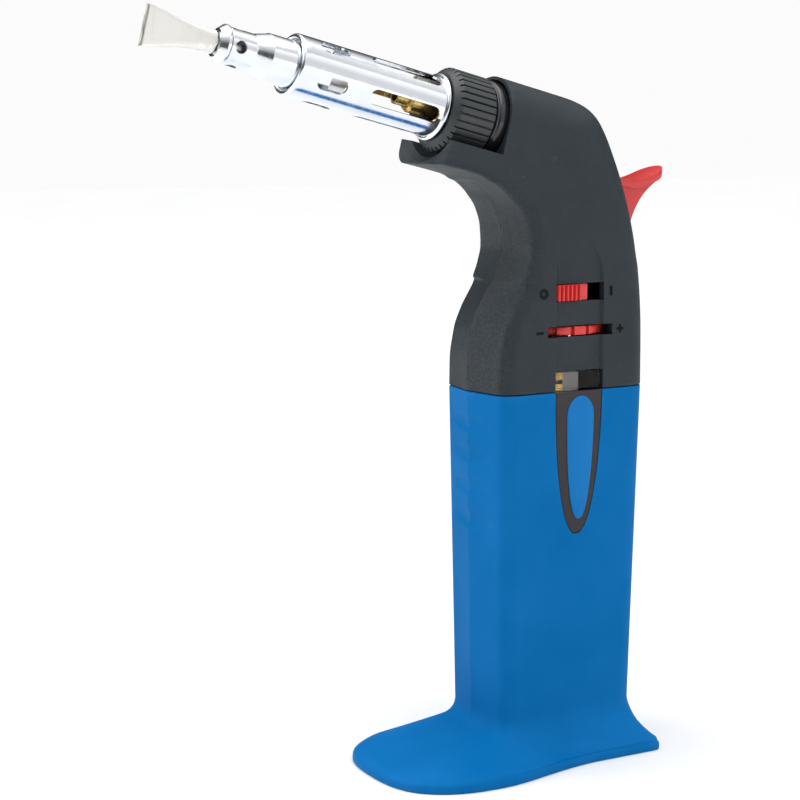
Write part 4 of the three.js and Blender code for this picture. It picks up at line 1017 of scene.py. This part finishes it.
def build_tip():
    profile = [
        (SLEEVE_BORE, SLEEVE_BACK), (SLEEVE_R, SLEEVE_BACK), (SLEEVE_R, 62.7), (5.55, 62.9), (5.4, 63.1),
        (4.5, 66.3), (4.42, 66.5), (4.4, 66.8), (4.4, SLEEVE_END - 0.1), (4.3, SLEEVE_END), (3.7, SLEEVE_END),
        (3.7, 66.4), (SLEEVE_BORE, 62.4), (SLEEVE_BORE, SLEEVE_BACK),
    ]
    sleeve = turned("tip_sleeve_chrome", profile, CHROME, 128, 24)
    holes = []
    for i in range(2):
        hole = rod_y("hole", 1.5, (-10, 10), 0, 0, CHROME, 40)
        hole.data.transform(Matrix.Translation((0, 0, 70.6 * MM)) @ Matrix.Rotation(i * math.pi / 2, 4, "Z"))
        holes.append(hole)
    on_nozzle(combine(sleeve, holes, smooth_angle=24))
    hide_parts("tip_sleeve")

    s = SLEEVE_END
    ring_profile = [
        (2.4, s + 0.2), (4.45, s + 0.2), (4.65, s + 0.35), (4.75, s + 0.7), (4.7, s + 1.05), (4.5, s + 1.25),
        (3.5, s + 2.4), (3.35, s + 2.5), (2.4, s + 2.5), (2.4, s + 0.2),
    ]
    ring = on_nozzle(turned("tip_ring_chrome", ring_profile, CHROME, 96, 28))
    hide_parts("tip_ring")

    blade = on_nozzle(mesh("spade_blade", *loft(blade_rings()), TIP, 40))
    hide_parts("blade_tip")
    for made, slot in ((sleeve, "chrome"), (ring, "chrome"), (blade, "tip_metal")):
        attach(made, "tip")


BLADE = np.array([
    # along, half width, half thickness, squareness
    (60, 2.0, 2.0, 1.0),
    (SLEEVE_END + 2.6, 2.0, 2.0, 1.0),
    (SLEEVE_END + 2.9, 2.8, 1.9, 0.75),
    (78, 2.72, 1.6, 0.6),
    (81, 2.78, 1.28, 0.45),
    (84.5, 3.2, 1.0, 0.3),
    (88, 3.95, 0.86, 0.2),
    (91, 4.65, 0.78, 0.16),
    (BLADE_END - 0.25, 5.0, 0.75, 0.14),
    (BLADE_END, 4.85, 0.6, 0.14),
])
BLADE_DROOP = 0.045


def blade_rings():
    rings = []
    along = np.concatenate(([60, 70, 75.45], np.linspace(75.6, BLADE_END - 0.25, 40), [BLADE_END]))
    angles = (np.arange(72) + 0.5) / 72 * 2 * math.pi
    for s in along:
        wide, thick, square = (np.interp(s, BLADE[:, 0], BLADE[:, k]) for k in (1, 2, 3))
        drop = -BLADE_DROOP * max(0, s - SLEEVE_END - 2.5)
        c, v = np.cos(angles), np.sin(angles)
        x = drop + wide * np.sign(c) * np.abs(c) ** square
        y = thick * np.sign(v) * np.abs(v) ** square
        rings.append(np.column_stack((x, y, np.full(len(x), s))))
    return rings


def build_socket():
    turn = np.linspace(math.pi / 2, math.pi, 8)
    arc = [(10.3 - 0.7 + 0.7 * math.sin(a), 1.0 + 0.7 * (1 - math.cos(a))) for a in turn]
    profile = [(4.5, -5.4), (10.3, -5.4), (10.3, 0.9), *arc, (6.5, 1.75), (6.5, 9), (4.5, 9), (4.5, -5.4)]
    socket = on_nozzle(turned("nozzle_bush", profile, BLACK, 96, 30))
    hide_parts("nozzle_socket")
    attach(socket, "torch_body")
    ring = on_nozzle(turned(
        "collar_washer",
        [(7, 2.0), (9.85, 2.0), (10, 2.15), (10, 2.65), (9.85, 2.8), (7, 2.8), (7, 2.0)], BLACK, 96, 30,
    ))
    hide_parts("knob_ring")
    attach(ring, "collar")


# ---------------------------------------------------------------- springs
def build_spring(name, node, centre_x, radius, ends, wire):
    """A round-wire coil of four turns between its two end heights."""
    turns, steps, sides = 4, 160, 10
    low, high = ends
    rise = (high - low) / (2 * math.pi * turns)
    around = np.linspace(0, 2 * math.pi, sides, endpoint=False)
    rings = []
    for angle in np.linspace(0, 2 * math.pi * turns, steps + 1):
        out = np.array((math.cos(angle), math.sin(angle), 0))
        along = np.array((-radius * math.sin(angle), radius * math.cos(angle), rise))
        up = np.cross(along / np.linalg.norm(along), out)
        middle = np.array((centre_x, 0, low + rise * angle)) + radius * out
        rings.append(middle + wire * (np.outer(np.cos(around), out) + np.outer(np.sin(around), up)))
    spring = mesh(name, *loft(rings), STEEL, 60)
    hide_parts(node)
    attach(spring, "torch_body")
    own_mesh(spring)


def build_springs():
    build_spring("trigger_coil", "trigger_spring", PIEZO_X, 3.9,
                 (129.8, 138.6), 0.36)
    build_spring("filler_coil", "filler_spring", FILLER_X, 1.65,
                 (5.8, 9.4), 0.22)


# ---------------------------------------------------------------- carried-over nodes
SLOT_MATERIALS = {
    "blue_plastic": BLUE, "blue_label": LABEL_BLUE, "charcoal_plastic": CHARCOAL, "collar_plastic": COLLAR,
    "black_plastic": BLACK, "red_plastic": RED, "smoky_window": SMOKY, "clear_window": CLEAR,
    "milky_plastic": MILKY, "rubber_seal": RUBBER, "brass": BRASS, "steel": STEEL, "chrome": CHROME,
    "tip_metal": TIP, "ceramic": CERAMIC,
}


def dress_nodes():
    slots = {s["node"]: s["material_slot"] for s in frame["record"]["subparts"]}
    for name, node in frame["nodes"].items():
        node.data.materials.clear()
        node.data.materials.append(SLOT_MATERIALS[slots[name]])


# ---------------------------------------------------------------- stage, light and camera
def area_light(name, place, target, size, power):
    data = bpy.data.lights.new(name, "AREA")
    data.shape = "RECTANGLE"
    data.size, data.size_y = size
    data.energy = power
    lamp = bpy.data.objects.new(name, data)
    lamp.location = place
    lamp.rotation_euler = (Vector(target) - Vector(place)).to_track_quat("-Z", "Y").to_euler()
    bpy.context.scene.collection.objects.link(lamp)


LEFT_POWER, RIGHT_POWER, TOP_POWER = 5.6, 4.1, 9.0  # watts
FLOOR_FILL = 0.42  # radiance the far floor adds, so that it meets the backdrop
SKY, HORIZON, BACKDROP = 1.0, 0.1, 0.97  # radiance overhead, at the horizon and as seen by the camera


def build_world():
    """A bright sky over a dim horizon, darkest behind the object, with a plain pale backdrop."""
    world = bpy.data.worlds.new("studio")
    bpy.context.scene.world = world
    world.use_nodes = True
    tree = Tree(world.node_tree)
    generated = tree.node("ShaderNodeTexCoord").outputs["Generated"]
    direction = tree.node("ShaderNodeSeparateXYZ", {"Vector": generated}).outputs
    sky = tree.ramp(direction["Z"], HORIZON, SKY, 0.3, 0.75)
    behind = tree.ramp(direction["Y"], 1.0, 0.3, 0.3, 0.7)
    low = tree.ramp(direction["Z"], 0.0, 1.0, 0.45, 0.75)
    shade = tree.math("MULTIPLY", sky, tree.math("MAXIMUM", behind, low))
    seen = tree.node("ShaderNodeLightPath").outputs["Is Camera Ray"]
    lit = tree.math("MULTIPLY", shade, tree.math("SUBTRACT", 1.0, seen))
    background = tree.tree.nodes["Background"]
    background.inputs["Color"].default_value = (1, 1, 1, 1)
    tree.put(background.inputs["Strength"], tree.math("ADD", lit, tree.math("MULTIPLY", seen, BACKDROP)))


def build_stage():
    floor_material = Nodes("pale_floor")
    tone = floor_material.ramp(floor_material.noise(6, 3), (0.86, 0.865, 0.87), (0.9, 0.9, 0.9), 0.3, 0.7)
    distance = floor_material.node("ShaderNodeVectorMath", {0: floor_material.place()}, operation="LENGTH")
    fill = floor_material.ramp(distance.outputs["Value"], 0.0, FLOOR_FILL, 0.3, 1.3)
    floor_material.set(Base_Color=tone, Roughness=0.6, Emission_Color=(1, 1, 1, 1), Emission_Strength=fill)
    half = 4000
    corners = [(-half, -half, 0), (half, -half, 0), (half, half, 0), (-half, half, 0)]
    floor = mesh("floor", corners, [(0, 1, 2, 3)], floor_material.material)

    build_world()
    middle = (-0.02, 0, 0.11)
    for name, azimuth, height, distance, size, power in (
        ("left_box", 152, 0.30, 0.9, (0.8, 1.1), LEFT_POWER),
        ("right_box", 301, 0.24, 0.9, (1.4, 1.2), RIGHT_POWER),
    ):
        angle = math.radians(azimuth)
        place = (distance * math.cos(angle), distance * math.sin(angle), height)
        area_light(name, place, middle, size, power)
    area_light("overhead", (-0.05, -0.05, 1.1), middle, (1.3, 1.1), TOP_POWER)
    bpy.context.scene.view_settings.view_transform = "Standard"


def build_camera():
    azimuth, elevation, distance = math.radians(30.5), math.radians(8.4), 0.470
    target = Vector((-0.0407, 0.004, 0.095))
    away = Vector((
        -math.sin(azimuth) * math.cos(elevation),
        -math.cos(azimuth) * math.cos(elevation),
        math.sin(elevation),
    ))
    data = bpy.data.cameras.new("camera")
    data.lens = 84.6
    data.sensor_width = 36
    data.clip_start = 0.01
    camera = bpy.data.objects.new("camera", data)
    camera.location = target + away * distance
    camera.rotation_euler = (-away).to_track_quat("-Z", "Y").to_euler()
    bpy.context.scene.collection.objects.link(camera)
    bpy.context.scene.camera = camera


build_camera()
dress_nodes()
build_grip()
build_head()
build_slider()
build_springs()
build_wheel()
build_trigger()
build_collar()
build_socket()
build_barrel()
build_tip()
build_marks()
build_stage()
